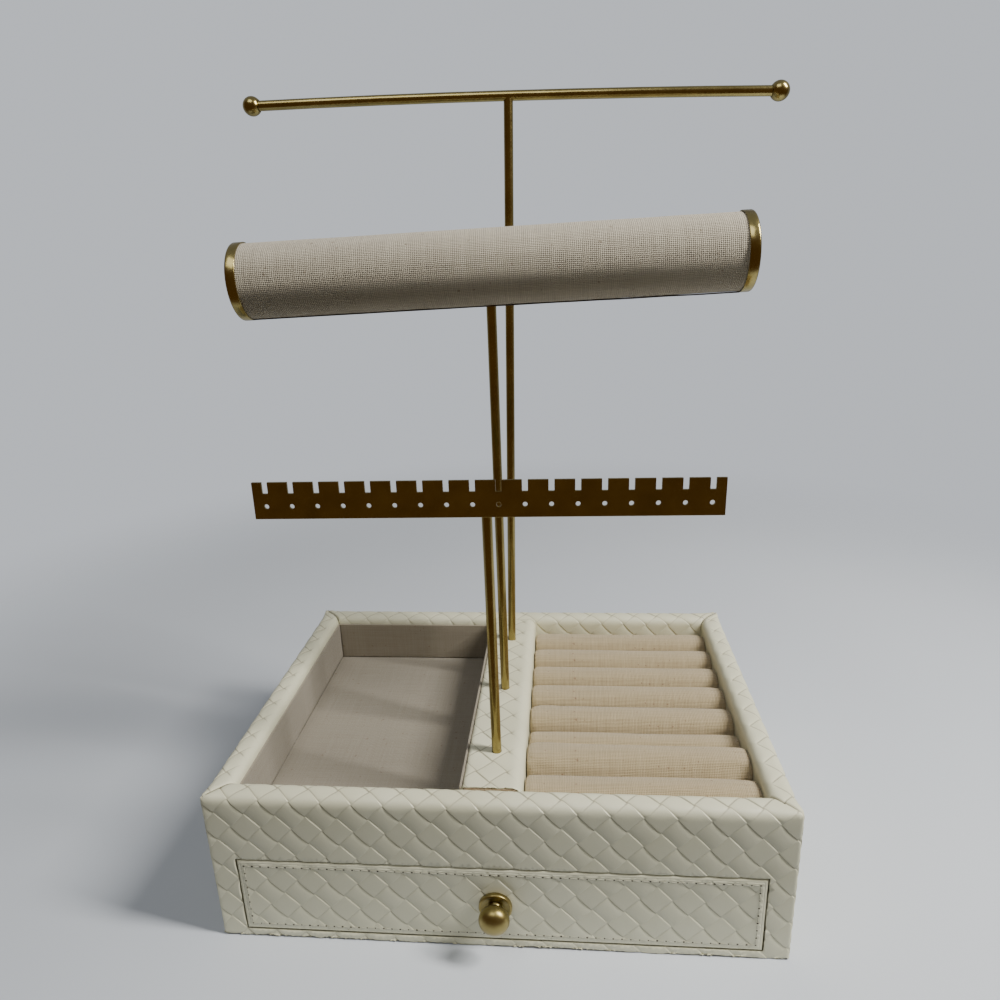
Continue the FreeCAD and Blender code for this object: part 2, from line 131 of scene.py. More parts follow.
def tube_faces(first, rings, sides, inward=False):
    """Faces of a tube of rings of points, the first point's number given, with its two flat ends."""
    faces = []
    for start in range(first, first + (rings - 1) * sides, sides):
        for side in range(sides):
            a = start + side
            b = start + (side + 1) % sides
            faces.append((a, b, b + sides, a + sides))
    last = first + (rings - 1) * sides
    faces.append(tuple(reversed(range(first, first + sides))))
    faces.append(tuple(range(last, last + sides)))
    if inward:
        faces = [face[:1] + face[:0:-1] for face in faces]
    return faces


def open_mesh(mesh):
    bm = bmesh.new()
    bm.from_mesh(mesh)
    return bm


def close_mesh(bm, mesh):
    bm.to_mesh(mesh)
    bm.free()
    return mesh


def smooth(piece):
    piece.data.polygons.foreach_set("use_smooth", [True] * len(piece.data.polygons))
    return piece


def apply_modifiers(piece):
    """Keep the piece's evaluated mesh and drop its modifiers."""
    graph = bpy.context.evaluated_depsgraph_get()
    graph.update()
    mesh = bpy.data.meshes.new_from_object(piece.evaluated_get(graph))
    piece.modifiers.clear()
    piece.data = mesh
    return piece


def modify(piece, kind, **settings):
    """Apply one modifier with these settings to the piece's mesh."""
    modifier = piece.modifiers.new(kind, kind)
    for name, value in settings.items():
        setattr(modifier, name, value)
    return apply_modifiers(piece)


def dress(piece, material, slot, body, *nodes):
    """Give a new piece its material and its body, and hide the nodes that it stands for; the record slot is
    not used.
    """
    piece.data.materials.clear()
    piece.data.materials.append(material)
    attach(piece, body)
    if nodes:
        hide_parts(*nodes)
    return piece


# ---- materials ----

class Look:
    """The node tree of a new material or world, with short ways to add to it."""

    def __init__(self, owner):
        owner.use_nodes = True
        self.owner = owner
        self.tree = owner.node_tree

    def feed(self, socket, value):
        """Link an output to an input, or set the input; a colour may leave out its alpha."""
        if isinstance(value, bpy.types.NodeSocket):
            self.tree.links.new(value, socket)
        elif isinstance(value, tuple) and len(socket.default_value) == len(value) + 1:
            socket.default_value = (*value, 1.0)
        else:
            socket.default_value = value

    def add(self, kind, **values):
        """A node; names that are inputs feed the input, others set the node's own property."""
        node = self.tree.nodes.new("ShaderNode" + kind)
        for name, value in values.items():
            label = name.replace("_", " ")
            if label in node.inputs:
                self.feed(node.inputs[label], value)
            else:
                setattr(node, name, value)
        return node

    def add_fed(self, kind, *values, **properties):
        """A node whose first inputs are fed in turn; returns its first output."""
        node = self.add(kind, **properties)
        for socket, value in zip(node.inputs, values):
            self.feed(socket, value)
        return node.outputs[0]

    def math(self, operation, *values):
        return self.add_fed("Math", *values, operation=operation)

    def product(self, first, second):
        return self.math("MULTIPLY", first, second)

    def vector(self, operation, *values):
        return self.add_fed("VectorMath", *values, operation=operation)

    def object_place(self):
        return self.add("TexCoord").outputs["Object"]

    def ramp(self, factor, low, high, first, second):
        """From the first colour where the factor is low to the second where it is high."""
        ramp = self.add("ValToRGB")
        for element, position, colour in zip(ramp.color_ramp.elements, (low, high), (first, second)):
            element.position = position
            element.color = (*colour, 1.0)
        self.feed(ramp.inputs[0], factor)
        return ramp.outputs[0]

    def spread(self, value, low, high, to_low=0.0, to_high=1.0, **more):
        """The value's range from low to high, spread over another range and kept in it."""
        limits = dict(From_Min=low, From_Max=high, To_Min=to_low, To_Max=to_high)
        return self.add("MapRange", Value=value, **limits, **more).outputs[0]

    def noise(self, scale=1.0, detail=3.0, roughness=0.5, place=None, stretch=None):
        """A noise texture in object space, in metres; stretch scales its axes."""
        place = place or self.object_place()
        if stretch:
            place = self.add("Mapping", Vector=place, Scale=stretch).outputs[0]
        return self.add("TexNoise", Vector=place, Scale=scale, Detail=detail, Roughness=roughness).outputs[0]

    def mix(self, factor, first, second):
        node = self.add("Mix", data_type="RGBA")
        for index, value in ((0, factor), (6, first), (7, second)):
            self.feed(node.inputs[index], value)
        return node.outputs[2]

    def surface(self, **values):
        """Feed the inputs of the material's shader."""
        shader = self.tree.nodes["Principled BSDF"]
        for name, value in values.items():
            self.feed(shader.inputs[name.replace("_", " ")], value)

    def bump(self, height, strength, distance):
        self.surface(Normal=self.add("Bump", Height=height, Strength=strength, Distance=distance).outputs[0])

    def show(self, factor, first, second):
        """Show the first closure where the factor is 0 and the second where it is 1."""
        output = self.tree.get_output_node("ALL")
        self.feed(output.inputs[0], self.add_fed("MixShader", factor, first, second))


def new_look(name):
    return Look(bpy.data.materials.new(name))


def leather_material():
    """Cream coated leather: soft satin, fine pores, painted shade in the grooves and a dark line at the
    seams.
    """
    look = new_look("cream_leather")
    cream = look.ramp(look.noise(28.0, 4.0), 0.30, 0.70, (0.680, 0.655, 0.465), (0.730, 0.708, 0.518))
    # the attribute darkens the cream: painted shade under the weave's edges, round the strips' ends on level
    # rims and inside the drawer's gap, and the dark line of the rim's mitred seams
    groove = look.add("Attribute", attribute_name="groove").outputs["Fac"]
    shaded_cream = look.mix(look.product(groove, 0.50), cream, (0.24, 0.21, 0.14))
    look.surface(Base_Color=shaded_cream, Roughness=look.spread(look.noise(160.0), 0.3, 0.7, 0.42, 0.54))
    pores = look.add("TexVoronoi", Scale=1500.0, Vector=look.object_place()).outputs["Distance"]
    creases = look.noise(330.0, 5.0, 0.6)
    look.bump(look.math("ADD", pores, look.product(creases, 1.6)), 0.22, 0.10 * MM)
    return look.owner


def cloth_place(look, thread):
    """Place on the UV map `cloth`, in metres, with the threads' small wobble."""
    cloth = look.add("UVMap", uv_map="cloth").outputs[0]
    wobble = look.add("TexNoise", Vector=cloth, Scale=240.0, Detail=2.0).outputs["Color"]
    centred = look.vector("SUBTRACT", wobble, (0.5, 0.5, 0.5))
    small = look.add("VectorMath", operation="SCALE", Vector=centred, Scale=0.7 * thread).outputs[0]
    return cloth, look.vector("ADD", cloth, small)


def thread_height(look, place, thread):
    """Height of a plain weave: a thread is high in its middle, and goes over every other one."""
    split = look.add("SeparateXYZ", Vector=place)
    across = look.product(split.outputs[0], 1.0 / thread)
    along = look.product(split.outputs[1], 1.0 / thread)
    warp_width, weft_width = [
        look.math("ABSOLUTE", look.math("SINE", look.product(way, math.pi))) for way in (across, along)]
    column = look.math("FLOOR", across)
    row = look.math("FLOOR", along)
    checker = look.math("PINGPONG", look.math("ADD", column, row), 1.0)
    warp_over = look.product(weft_width, checker)
    weft_over = look.product(warp_width, look.math("SUBTRACT", 1.0, checker))
    warp = look.product(warp_width, look.math("ADD", 0.45, warp_over))
    weft = look.product(weft_width, look.math("ADD", 0.45, weft_over))
    return look.math("MAXIMUM", warp, weft)


def linen_material(name, light, dark, thread, fleck, hollow_shade_strength=0.55):
    """Plain-woven linen: threads over and under with painted shade between them, slubs along them and dark
    flecks.
    """
    look = new_look(name)
    cloth, wobbled = cloth_place(look, thread)
    height = thread_height(look, wobbled, thread)
    slubs = [look.noise(1.0, 2.0, place=cloth, stretch=stretch)
             for stretch in ((0.9 / thread, 28.0, 1.0), (28.0, 0.9 / thread, 1.0))]
    tone = look.ramp(look.product(look.math("ADD", *slubs), 0.5), 0.36, 0.62, dark, light)
    # painted shade in the hollows between the threads
    painted_hollow_shade = look.product(look.math("SUBTRACT", 1.0, height), hollow_shade_strength)
    woven = look.mix(look.math("MAXIMUM", painted_hollow_shade, 0.0), tone, tuple(0.55 * c for c in dark))
    flecks = look.spread(look.noise(420.0, 1.0, place=cloth), 0.71, 0.755)
    flecked = look.mix(look.product(flecks, 0.75), woven, fleck)
    look.surface(Base_Color=flecked, Roughness=0.92, Sheen_Weight=0.25, Sheen_Roughness=0.6)
    look.bump(height, 0.8, 0.30 * MM)
    return look.owner


def brass_material(name, smoothest, roughest):
    """Antique satin brass: fine brushing, darker and warmer in patches."""
    look = new_look(name)
    gold = look.ramp(look.noise(90.0, 4.0, 0.6), 0.32, 0.68, (0.265, 0.212, 0.078), (0.350, 0.288, 0.114))
    rough = look.spread(look.noise(900.0), 0.3, 0.7, smoothest, roughest)
    look.surface(Base_Color=gold, Metallic=1.0, Roughness=rough)
    look.bump(look.noise(1.0, 4.0, 0.6, stretch=(2600.0, 2600.0, 500.0)), 0.02, 0.01 * MM)
    return look.owner


def plain_material(name, first, second, texture, finish, relief=None, grain=None, reach=0.15):
    """Two tones that follow a noise texture, `reach` either way of its middle.

    The relief follows the same texture, or the grain's where it is given.
    """
    look = new_look(name)
    pattern = look.noise(**texture)
    tone = look.ramp(pattern, 0.5 - reach, 0.5 + reach, first, second)
    look.surface(Base_Color=tone, **finish)
    if relief:
        look.bump(look.noise(**grain) if grain else pattern, *relief)
    return look.owner


LEATHER_LOOK = leather_material()
TRAY_LINEN = linen_material(
    "tray_linen", (0.350, 0.300, 0.213), (0.300, 0.250, 0.168), 0.62 * MM, (0.20, 0.13, 0.07), 0.45)
RING_LINEN = linen_material(
    "ring_linen", (0.575, 0.460, 0.265), (0.445, 0.338, 0.182), 0.72 * MM, (0.24, 0.13, 0.06))
ROLL_LINEN = linen_material(
    "roll_linen", (0.57, 0.505, 0.375), (0.44, 0.38, 0.278), 0.80 * MM, (0.22, 0.16, 0.10), 0.65)
BRASS = brass_material("satin_brass", 0.20, 0.25)
TURNED_BRASS = brass_material("turned_brass", 0.33, 0.38)
STEEL = plain_material(
    "zinc_steel", (0.50, 0.50, 0.48), (0.66, 0.66, 0.63), dict(scale=220.0),
    dict(Metallic=1.0, Roughness=0.38), relief=(0.15, 0.03 * MM), grain=dict(scale=1500.0, detail=2.0),
    reach=0.2)
BOARD = plain_material(
    "fibreboard", (0.36, 0.26, 0.16), (0.52, 0.40, 0.27),
    dict(detail=5.0, roughness=0.65, stretch=(500.0, 500.0, 1400.0)),
    dict(Roughness=0.85), relief=(0.35, 0.15 * MM))
FELT = plain_material(
    "bottom_felt", (0.40, 0.37, 0.31), (0.60, 0.57, 0.50), dict(scale=2100.0, detail=5.0, roughness=0.7),
    dict(Roughness=1.0, Sheen_Weight=0.4), relief=(0.8, 0.25 * MM))
# dark brown woven tape, with its ribs across
TAPE = plain_material(
    "seam_tape", (0.055, 0.035, 0.022), (0.13, 0.09, 0.06), dict(detail=2.0, stretch=(1700.0, 260.0, 260.0)),
    dict(Roughness=0.9), relief=(0.6, 0.2 * MM))
THREAD = plain_material(
    "cream_thread", (0.46, 0.44, 0.33), (0.56, 0.54, 0.42), dict(scale=2600.0, detail=2.0),
    dict(Roughness=0.7), relief=(0.5, 0.08 * MM))
# painted shade: dark dots that stand for the shadow inside the needle holes
NEEDLE_HOLE_SHADE = plain_material(
    "needle_hole_shade", (0.045, 0.035, 0.025), (0.11, 0.09, 0.065), dict(scale=1800.0, detail=2.0),
    dict(Roughness=0.95))


# ---- woven leather skins ----

def tile_lines(first, last):
    """Tile number, and place in the tile from 0 to 1, of each grid line along one way of the weave."""
    numbers = np.repeat(np.arange(first, last), len(TILE_SAMPLES))
    return numbers, np.tile(TILE_SAMPLES, last - first)


def weave_grid(u_range, v_range, origin):
    """Grid of the basket weave over a rectangle of flat hide.

    Strips run along the tile's two sides in turn. Returns flat points (rows, columns, 2), relief,
    which is 0 on the strips and negative where they dive, and two masks of painted shade for the
    leather's colour: under the edges at one end of each strip, and round both ends.
    """
    to_tiles = np.linalg.inv(np.array((DOWN_RIGHT, UP_RIGHT)).T)
    corners = [(u, v) for u in u_range for v in v_range]
    tiles = np.array([to_tiles @ (np.array(c) - origin) for c in corners])
    first = np.floor(tiles.min(0)).astype(int) - 1
    last = np.ceil(tiles.max(0)).astype(int) + 1
    i_cell, i_local = tile_lines(first[0], last[0])
    j_cell, j_local = tile_lines(first[1], last[1])
    cell_i, cell_j = np.meshgrid(i_cell, j_cell, indexing="ij")
    p, q = np.meshgrid(i_local, j_local, indexing="ij")
    i = cell_i + p
    j = cell_j + q
    bowed_i = i + STRIP_BULGE * np.sin(math.pi * j) * np.cos(math.pi * i)
    bowed_j = j - STRIP_BULGE * np.sin(math.pi * i) * np.cos(math.pi * j)
    flat = origin + bowed_i[..., None] * DOWN_RIGHT + bowed_j[..., None] * UP_RIGHT
    runs_down = (cell_i + cell_j) % 2 == 0
    along = np.where(runs_down, p, q) * 2 - 1
    across = np.where(runs_down, q, p) * 2 - 1
    relief = -STRIP_DIVE * np.where(runs_down, SHALLOW_DIVE, 1.0) * np.abs(along) ** DIVE_POWER
    relief -= STRIP_CROWN * across ** 2 + STRIP_EDGE * np.abs(across) ** EDGE_POWER
    relief -= STRIP_LIFT * (0.5 + 0.5 * np.sin(LIFT_SCATTER[0] * cell_i + LIFT_SCATTER[1] * cell_j))
    # painted shade: under the edges at one end of each strip, and round both ends
    under = smoothstep(*PAINTED_SHADE_ENDS, along) * np.where(runs_down, SHALLOW_PAINTED_SHADE, 1.0)
    around = smoothstep(*PAINTED_SHADE_ENDS, np.abs(along))
    return flat, relief, under, around


def painted_shade_on(under, around, up_normal):
    """Painted shade lies under the edges on upright faces, and round all of them on level ones."""
    return np.maximum(under, TOP_PAINTED_SHADE * around * up_normal ** 2)


def sheet_mesh(name, points, painted_shade_amount, keep):
    """Mesh of the grid's quads whose four corners pass `keep`, with the painted shade at each point."""
    rows, columns = painted_shade_amount.shape
    index = np.arange(rows * columns).reshape(rows, columns)
    quads = np.stack((index[:-1, :-1], index[1:, :-1], index[1:, 1:], index[:-1, 1:]), -1).reshape(-1, 4)
    quads = quads[keep.reshape(-1)[quads].all(1)]
    used = np.unique(quads)
    renumber = np.zeros(rows * columns, int)
    renumber[used] = np.arange(len(used))
    mesh = bpy.data.meshes.new(name)
    mesh.from_pydata(points.reshape(-1, 3)[used].tolist(), [], renumber[quads].tolist())
    # the painted shade is kept as a point attribute for the leather's colour
    groove = mesh.attributes.new("groove", "FLOAT", "POINT")
    groove.data.foreach_set("value", painted_shade_amount.reshape(-1)[used].astype(np.float32))
    # tiles end in crisp edges: the lines of the grid next to a step don't blend into it
    ends = np.zeros(2 * len(mesh.edges), int)
    mesh.edges.foreach_get("vertices", ends)
    samples = len(TILE_SAMPLES)
    crisp_line = np.zeros(len(mesh.edges), bool)
    for line in np.divmod(used[ends], columns):
        same = line[0::2] == line[1::2]
        crisp_line |= same & np.isin(line[0::2] % samples, (0, samples - 1))
    mesh.attributes.new("sharp_edge", "BOOLEAN", "EDGE").data.foreach_set("value", crisp_line)
    return mesh


def hide_length(rises, width, rounds):
    """Flat length of hide over these upright faces and a top between them with rounded edges."""
    return sum(rises) + width - sum(rounds) + QUARTER_TURN * sum(rounds)


def hide_section(girth, rise, width, rounds, sharp=0.0):
    """Hide that goes up a face, over a top with rounded edges and down, by its flat length so far.

    Returns the inset from the first face, the height, and the normal's share outwards and upwards.
    The first edge's rounding goes towards a sharp edge as `sharp` goes from 0 to 1.
    """
    first_round, second_round = rounds
    top_width = width - first_round - second_round
    past_first = girth - rise - first_round * QUARTER_TURN
    first = np.clip((girth - rise) / first_round, 0, QUARTER_TURN)
    level = np.clip(past_first, 0, top_width)
    second = np.clip((past_first - top_width) / second_round, 0, QUARTER_TURN)
    down = np.clip(past_first - top_width - second_round * QUARTER_TURN, 0, None)
    reach = first_round * (1 + sharp * (1 / np.maximum(np.cos(first), np.sin(first)) - 1))
    inset = first_round - reach * np.cos(first) + level + second_round * np.sin(second)
    height = np.minimum(girth, rise) + reach * np.sin(first) - second_round * (1 - np.cos(second)) - down
    return inset, height, np.cos(first + second), np.sin(first + second)


def cut_off(bm, point, normal, geometry=None):
    """Drop what lies beyond a plane, on the side that its normal points to."""
    geometry = geometry or bm.verts[:] + bm.edges[:] + bm.faces[:]
    bmesh.ops.bisect_plane(bm, geom=geometry, dist=1e-7, plane_co=point, plane_no=normal, clear_outer=True)


def with_borders(faces):
    """The faces with their edges and points, as the cutting tools want them."""
    edges = {edge for face in faces for edge in face.edges}
    verts = {vert for face in faces for vert in face.verts}
    return list(verts) + list(edges) + list(faces)


def slice_at(bm, point, normal, faces):
    """Add a line of points where a plane crosses some of the faces."""
    bmesh.ops.bisect_plane(bm, geom=with_borders(faces), dist=1e-7, plane_co=point, plane_no=normal)


def face_hide_outward(bm, outward):
    """Turn all faces the same way, the outer face's out of the box."""
    bmesh.ops.recalc_face_normals(bm, faces=bm.faces[:])
    total = sum((face.normal.dot(outward) * face.calc_area() for face in bm.faces
                 if face.normal.dot(outward) ** 2 > 0.8), 0.0)
    if total < 0:
        bmesh.ops.reverse_faces(bm, faces=bm.faces[:])


def drill(piece, holes, radius, reach):
    """Cut round holes through a skin; each is a centre and a direction."""
    bm = bmesh.new()
    for centre, direction in holes:
        turn = direction.to_track_quat("Z", "Y").to_matrix().to_4x4()
        bmesh.ops.create_cone(
            bm, cap_ends=True, segments=40, radius1=radius, radius2=radius, depth=2 * reach,
            matrix=Matrix.Translation(centre) @ turn)
    cutter = link("drill", close_mesh(bm, bpy.data.meshes.new("drill")))
    modify(piece, "BOOLEAN", operation="DIFFERENCE", solver="EXACT", object=cutter)
    bpy.data.objects.remove(cutter)


def finish_hide(name, bm, mesh, outward, body, node, drilled=None):
    """Give the cut hide its thickness and its holes, and dress it as leather."""
    face_hide_outward(bm, outward)
    piece = smooth(link(name, close_mesh(bm, mesh)))
    modify(piece, "SOLIDIFY", thickness=HIDE_THICKNESS, offset=-1.0)
    if drilled:
        drill(piece, *drilled)
    return dress(piece, LEATHER_LOOK, "cream_leather", body, node)


# ---- the base box's four sides ----

RIM_ROUNDS = (RIM_ROUND, RIM_ROUND)
HIDE_TOP = hide_length((FACE_TOP, FACE_TOP - DECK_TOP), WALL, RIM_ROUNDS)
SHARP_CORNER = 0.75              # how sharp the rim's outer edge gets at its ends
SHARP_REACH = (11 * MM, 2 * MM)  # from where to where that comes, from the end
PRESSED_OUT = 0.88               # share of the weave that is pressed out on the side rims
PRESSED_FROM = (7.2 * MM, 8.8 * MM)  # it goes between these insets
CORNER_LINES = (0.0, 0.35, 0.7)  # extra lines near an upright corner, as shares of its rounding
SEAM_SINK = 0.45 * MM
SEAM_WASH = 1.3
HEM_LIFT = (0.25 * MM, 0.75 * MM)  # how far the hem stays over its solid's edge, and its wave
RAGGED_SIDE = 0.4 * MM           # how far the cut edge wanders at the opening's sides
OPENING_NEAR = 2 * MM            # the opening's lines are cut only through faces this close to it


def middle_of(edge):
    return (edge.verts[0].co + edge.verts[1].co) / 2


def unit_noise(place, offset=0.5):
    """Smooth noise, kept from 0 to 1."""
    return min(max(offset + noise.noise(place), 0.0), 1.0)


class Panel:
    """One side of the base box: hide goes up its outer face, over the rim and down to the deck."""

    def __init__(self, side, outward, along, half_length, distance, origin):
        self.side = side
        self.outward = outward
        self.along = along
        self.half_length = half_length
        self.distance = distance
        self.origin = np.array(origin) * MM

    def inset_of(self, place):
        return self.distance - place.dot(self.outward)

    def corner(self, end):
        return self.along * end * self.half_length + self.outward * self.distance

    def amount(self, inset):
        """How strongly the weave shows: it is pressed out on the inner half of the side rims."""
        if self.side in ("left", "right"):
            return 1.0 - PRESSED_OUT * smoothstep(*PRESSED_FROM, inset)
        return np.ones_like(inset)

    def grid(self):
        flat, relief, under, around = weave_grid(
            (-self.half_length, self.half_length), (0.0, HIDE_TOP), self.origin)
        u = flat[..., 0]
        v = flat[..., 1]
        start, full = (self.half_length - reach for reach in SHARP_REACH)
        sharp = SHARP_CORNER * smoothstep(start, full, np.abs(u))
        inset, height, out_normal, up_normal = hide_section(v, FACE_TOP, WALL, RIM_ROUNDS, sharp)
        amount = self.amount(inset)
        relief = relief * amount
        out = self.distance - inset + relief * out_normal
        up = height + relief * up_normal
        points = (u[..., None] * np.array(self.along) + out[..., None] * np.array(self.outward)
                  + up[..., None] * np.array(Z))
        spare = 2 * MM
        keep = (np.abs(u) < self.half_length - inset + spare) & (v > HEM - spare)
        keep &= v < HIDE_TOP + spare
        # with the weave's painted shade, less where the weave is pressed out
        return points, painted_shade_on(under, around, up_normal) * amount, keep

    def build(self):
        name = "woven_leather_" + self.side
        mesh = sheet_mesh(name, *self.grid())
        bm = open_mesh(mesh)
        cut_off(bm, Z * HEM, -Z)
        inside = [f for f in bm.faces if self.inset_of(f.calc_center_median()) > WALL / 2]
        cut_off(bm, Z * DECK_TOP, -Z, with_borders(inside))
        for end in (-1, 1):
            self.fold_corner(bm, end)
            cut_off(bm, self.corner(end), self.along * end - self.outward)
            self.close_seam(bm, end)
        self.wave_hem(bm)
        if self.side == "front":
            self.open_for_drawer(bm)
        piece = finish_hide(name, bm, mesh, self.outward, "base_box", "leather_" + self.side)
        self.cut_area()

    def cut_area(self):
        """Flat area of the hide: mitred at both ends of the rim, and open for the drawer in front."""
        rim = hide_length((), WALL, RIM_ROUNDS)
        area = 2 * self.half_length * (HIDE_TOP - HEM) - 2 * WALL * (rim / 2 + FACE_TOP - DECK_TOP)
        if self.side == "front":
            height = OPENING_TOP - OPENING_LOW
            area -= 2 * OPENING_HALF * (height - SILL_FLAP) - (2 * OPENING_HALF + 2 * height) * GAP_FLAP
        return area

    def fold_corner(self, bm, end):
        """Round the upright corner: extra lines near it, then bend what lies beyond the first."""
        start = self.half_length - CORNER_ROUND
        for step in CORNER_LINES:
            near = [f for f in bm.faces
                    if f.calc_center_median().dot(self.along) * end > start - 4 * MM
                    and self.inset_of(f.calc_center_median()) < CORNER_ROUND + 0.5 * MM]
            slice_at(bm, self.along * end * (start + step * CORNER_ROUND), self.along, near)
        for vert in bm.verts:
            beyond = vert.co.dot(self.along) * end - start
            radius = CORNER_ROUND - max(self.inset_of(vert.co), 0.0)
            if beyond <= 0 or radius <= 0.05 * MM or beyond > radius * 2.2:
                continue
            angle = beyond / radius * math.radians(45)
            move = self.along * end * (radius * math.sin(angle) - beyond)
            vert.co += move - self.outward * radius * (1 - math.cos(angle))

    def close_seam(self, bm, end):
        """Sink the hide where two mitred pieces meet on the rim, so that the seam shows as a line."""
        across = (self.along * end - self.outward).normalized()
        groove = bm.verts.layers.float["groove"]
        for vert in bm.verts:
            off = abs((vert.co - self.corner(end)).dot(across))
            if off < TINY and 0.8 * MM < self.inset_of(vert.co) < WALL - 0.2 * MM:
                vert.co -= Z * SEAM_SINK
                vert[groove] = SEAM_WASH

    def wave_hem(self, bm):
        least, wave = HEM_LIFT
        for vert in bm.verts:
            if vert.co.z < HEM + TINY:
                fine = 0.5 * noise.noise(vert.co * 420.0)
                vert.co.z += least + wave * unit_noise(vert.co * 110.0, 0.5 + fine)

    def open_for_drawer(self, bm):
        """Cut the drawer's opening and turn the hide back round its sides, top and sill."""
        def near_opening(face):
            centre = face.calc_center_median()
            beside = abs(centre.x) < OPENING_HALF + OPENING_NEAR and centre.z < OPENING_TOP + OPENING_NEAR
            return beside and self.inset_of(centre) < OPENING_NEAR

        def in_opening(place, slack):
            beside = abs(place.x) < OPENING_HALF + slack
            return beside and OPENING_LOW - slack < place.z < OPENING_TOP + slack

        planes = [(X * side * OPENING_HALF, X) for side in (-1, 1)]
        planes += [(Z * level, Z) for level in (OPENING_LOW, OPENING_TOP)]
        for point, normal in planes:
            slice_at(bm, point, normal, [f for f in bm.faces if near_opening(f)])
        hole = [f for f in bm.faces if near_opening(f) and in_opening(f.calc_center_median(), 0.0)]
        bmesh.ops.delete(bm, geom=hole, context="FACES")
        front = -HALF_DEPTH + 3 * MM
        cut = [edge for edge in bm.edges if edge.is_boundary
               and in_opening(middle_of(edge), TINY) and middle_of(edge).y < front]
        sill = [edge for edge in cut if middle_of(edge).z < OPENING_LOW + TINY]
        turned = [edge for edge in cut if middle_of(edge).z >= OPENING_LOW + TINY]
        groove = bm.verts.layers.float["groove"]
        # the turned-in hide gets painted shade, dark inside the gap
        for edges, depths in ((turned, (0.8 * MM, GAP_FLAP)), (sill, (SILL_FLAP,))):
            for depth in depths:
                made = bmesh.ops.extrude_edge_only(bm, edges=edges)["geom"]
                edges = [e for e in made if isinstance(e, bmesh.types.BMEdge)]
                for vert in (v for v in made if isinstance(v, bmesh.types.BMVert)):
                    vert.co.y = -HALF_DEPTH + depth
                    vert[groove] = GAP_PAINTED_SHADE
        for vert in bm.verts:
            at_side = abs(abs(vert.co.x) - OPENING_HALF) < TINY and OPENING_LOW < vert.co.z < OPENING_TOP
            if at_side and vert.co.y < front:
                vert.co.x += math.copysign(RAGGED_SIDE * unit_noise(vert.co * 260.0), vert.co.x)


PANELS = (
    Panel("front", -Y, X, HALF_WIDTH, HALF_DEPTH, (21.68, 57.5)),
    Panel("right", X, Y, HALF_DEPTH, HALF_WIDTH, (3.0, 60.0)),
    Panel("back", Y, -X, HALF_WIDTH, HALF_DEPTH, (1.0, 58.0)),
    Panel("left", -X, -Y, HALF_DEPTH, HALF_WIDTH, (-2.0, 59.0)),
)


# ---- divider's leather, with holes for the posts ----

DIVIDER_ROUNDS = (1.2 * MM, 5.0 * MM)  # rounding on the open tray's side, and on the rings' side
DIVIDER_TOP = DIVIDER_HIGH.z
DIVIDER_ORIGIN = np.array((33.0, 4.0)) * MM
DIVIDER_PRESSED_OUT = 0.9
DIVIDER_PRESSED_FROM = (7.5 * MM, 5.5 * MM)  # from the rings' side
POST_HOLE = 2.32 * MM


def build_divider():
    height = DIVIDER_TOP - DECK_TOP
    width = DIVIDER_HIGH.x - DIVIDER_LOW.x
    rises = [height - rounding for rounding in DIVIDER_ROUNDS]
    girth_end = hide_length(rises, width, DIVIDER_ROUNDS)
    front = DIVIDER_LOW.y + 0.05 * MM
    back = DIVIDER_HIGH.y - 0.05 * MM
    flat, relief, under, around = weave_grid((0.0, girth_end), (front, back), DIVIDER_ORIGIN)
    girth = flat[..., 0]
    y = flat[..., 1]
    inset, rise, out_normal, up_normal = hide_section(
        np.maximum(girth, 0), rises[0], width, DIVIDER_ROUNDS)
    start, full = (width - reach for reach in DIVIDER_PRESSED_FROM)
    amount = 1.0 - DIVIDER_PRESSED_OUT * smoothstep(start, full, inset)
    relief = relief * amount
    points = np.stack(
        (DIVIDER_LOW.x + inset - relief * out_normal, y, DECK_TOP + rise + relief * up_normal), -1)
    spare = 1.5 * MM
    keep = (girth > -spare) & (girth < girth_end + spare) & (y > front - spare) & (y < back + spare)
    name = "woven_leather_divider"
    # with the weave's painted shade, less where the weave is pressed out
    mesh = sheet_mesh(name, points, painted_shade_on(under, around, up_normal) * amount, keep)
    bm = open_mesh(mesh)
    cut_off(bm, Z * DECK_TOP, -Z)
    cut_off(bm, Y * front, -Y)
    cut_off(bm, Y * back, Y)
    holes = [(Vector((POST_X, row * POST_PITCH, DIVIDER_TOP)), Z) for row in (-1, 0, 1)]
    piece = finish_hide(
        name, bm, mesh, Z, "base_box", "divider_leather", drilled=(holes, POST_HOLE, 6 * MM))


# ---- drawer front: woven face, smooth border, stitches ----

FRONT_BORDER = 1.6 * MM          # width of the smooth border seen from the front
FRONT_ROUND = 1.4 * MM
FRONT_ORIGIN = np.array((20.98, 30.1)) * MM
BORDER_STEP = 3.0 * MM
BORDER_WAVE = 0.14 * MM
BORDER_WEAVE = 0.10              # share of the weave that is left next to the border
BORDER_FADE = (2.4 * MM, 5.2 * MM)  # where the weave comes in, from the front's edge
GAP_FADE = (0.6 * MM, 2.0 * MM)  # where the painted shade of the gap comes in, behind the front
STITCH_PITCH = 3.75 * MM
STITCH_INSET = 3.2 * MM
THREAD_RADIUS = 0.20 * MM
NEEDLE_RADIUS = 0.50 * MM
SCREW_HOLE = 2.0 * MM


def rectangle_path(low, high, spacing):
    """Points round a rectangle (x, z), with the way inwards at each; corners point diagonally."""
    corners = [(low.x, low.z), (high.x, low.z), (high.x, high.z), (low.x, high.z)]
    inwards = [(0, 1), (-1, 0), (0, -1), (1, 0)]
    path = []
    for side in range(4):
        start = np.array(corners[side])
        end = np.array(corners[(side + 1) % 4])
        steps = max(1, round(np.linalg.norm(end - start) / spacing))
        before = np.array(inwards[side - 1], float)
        here = np.array(inwards[side], float)
        path.append((start, before + here))
        for step in range(1, steps):
            path.append((start + (end - start) * step / steps, here))
    return path


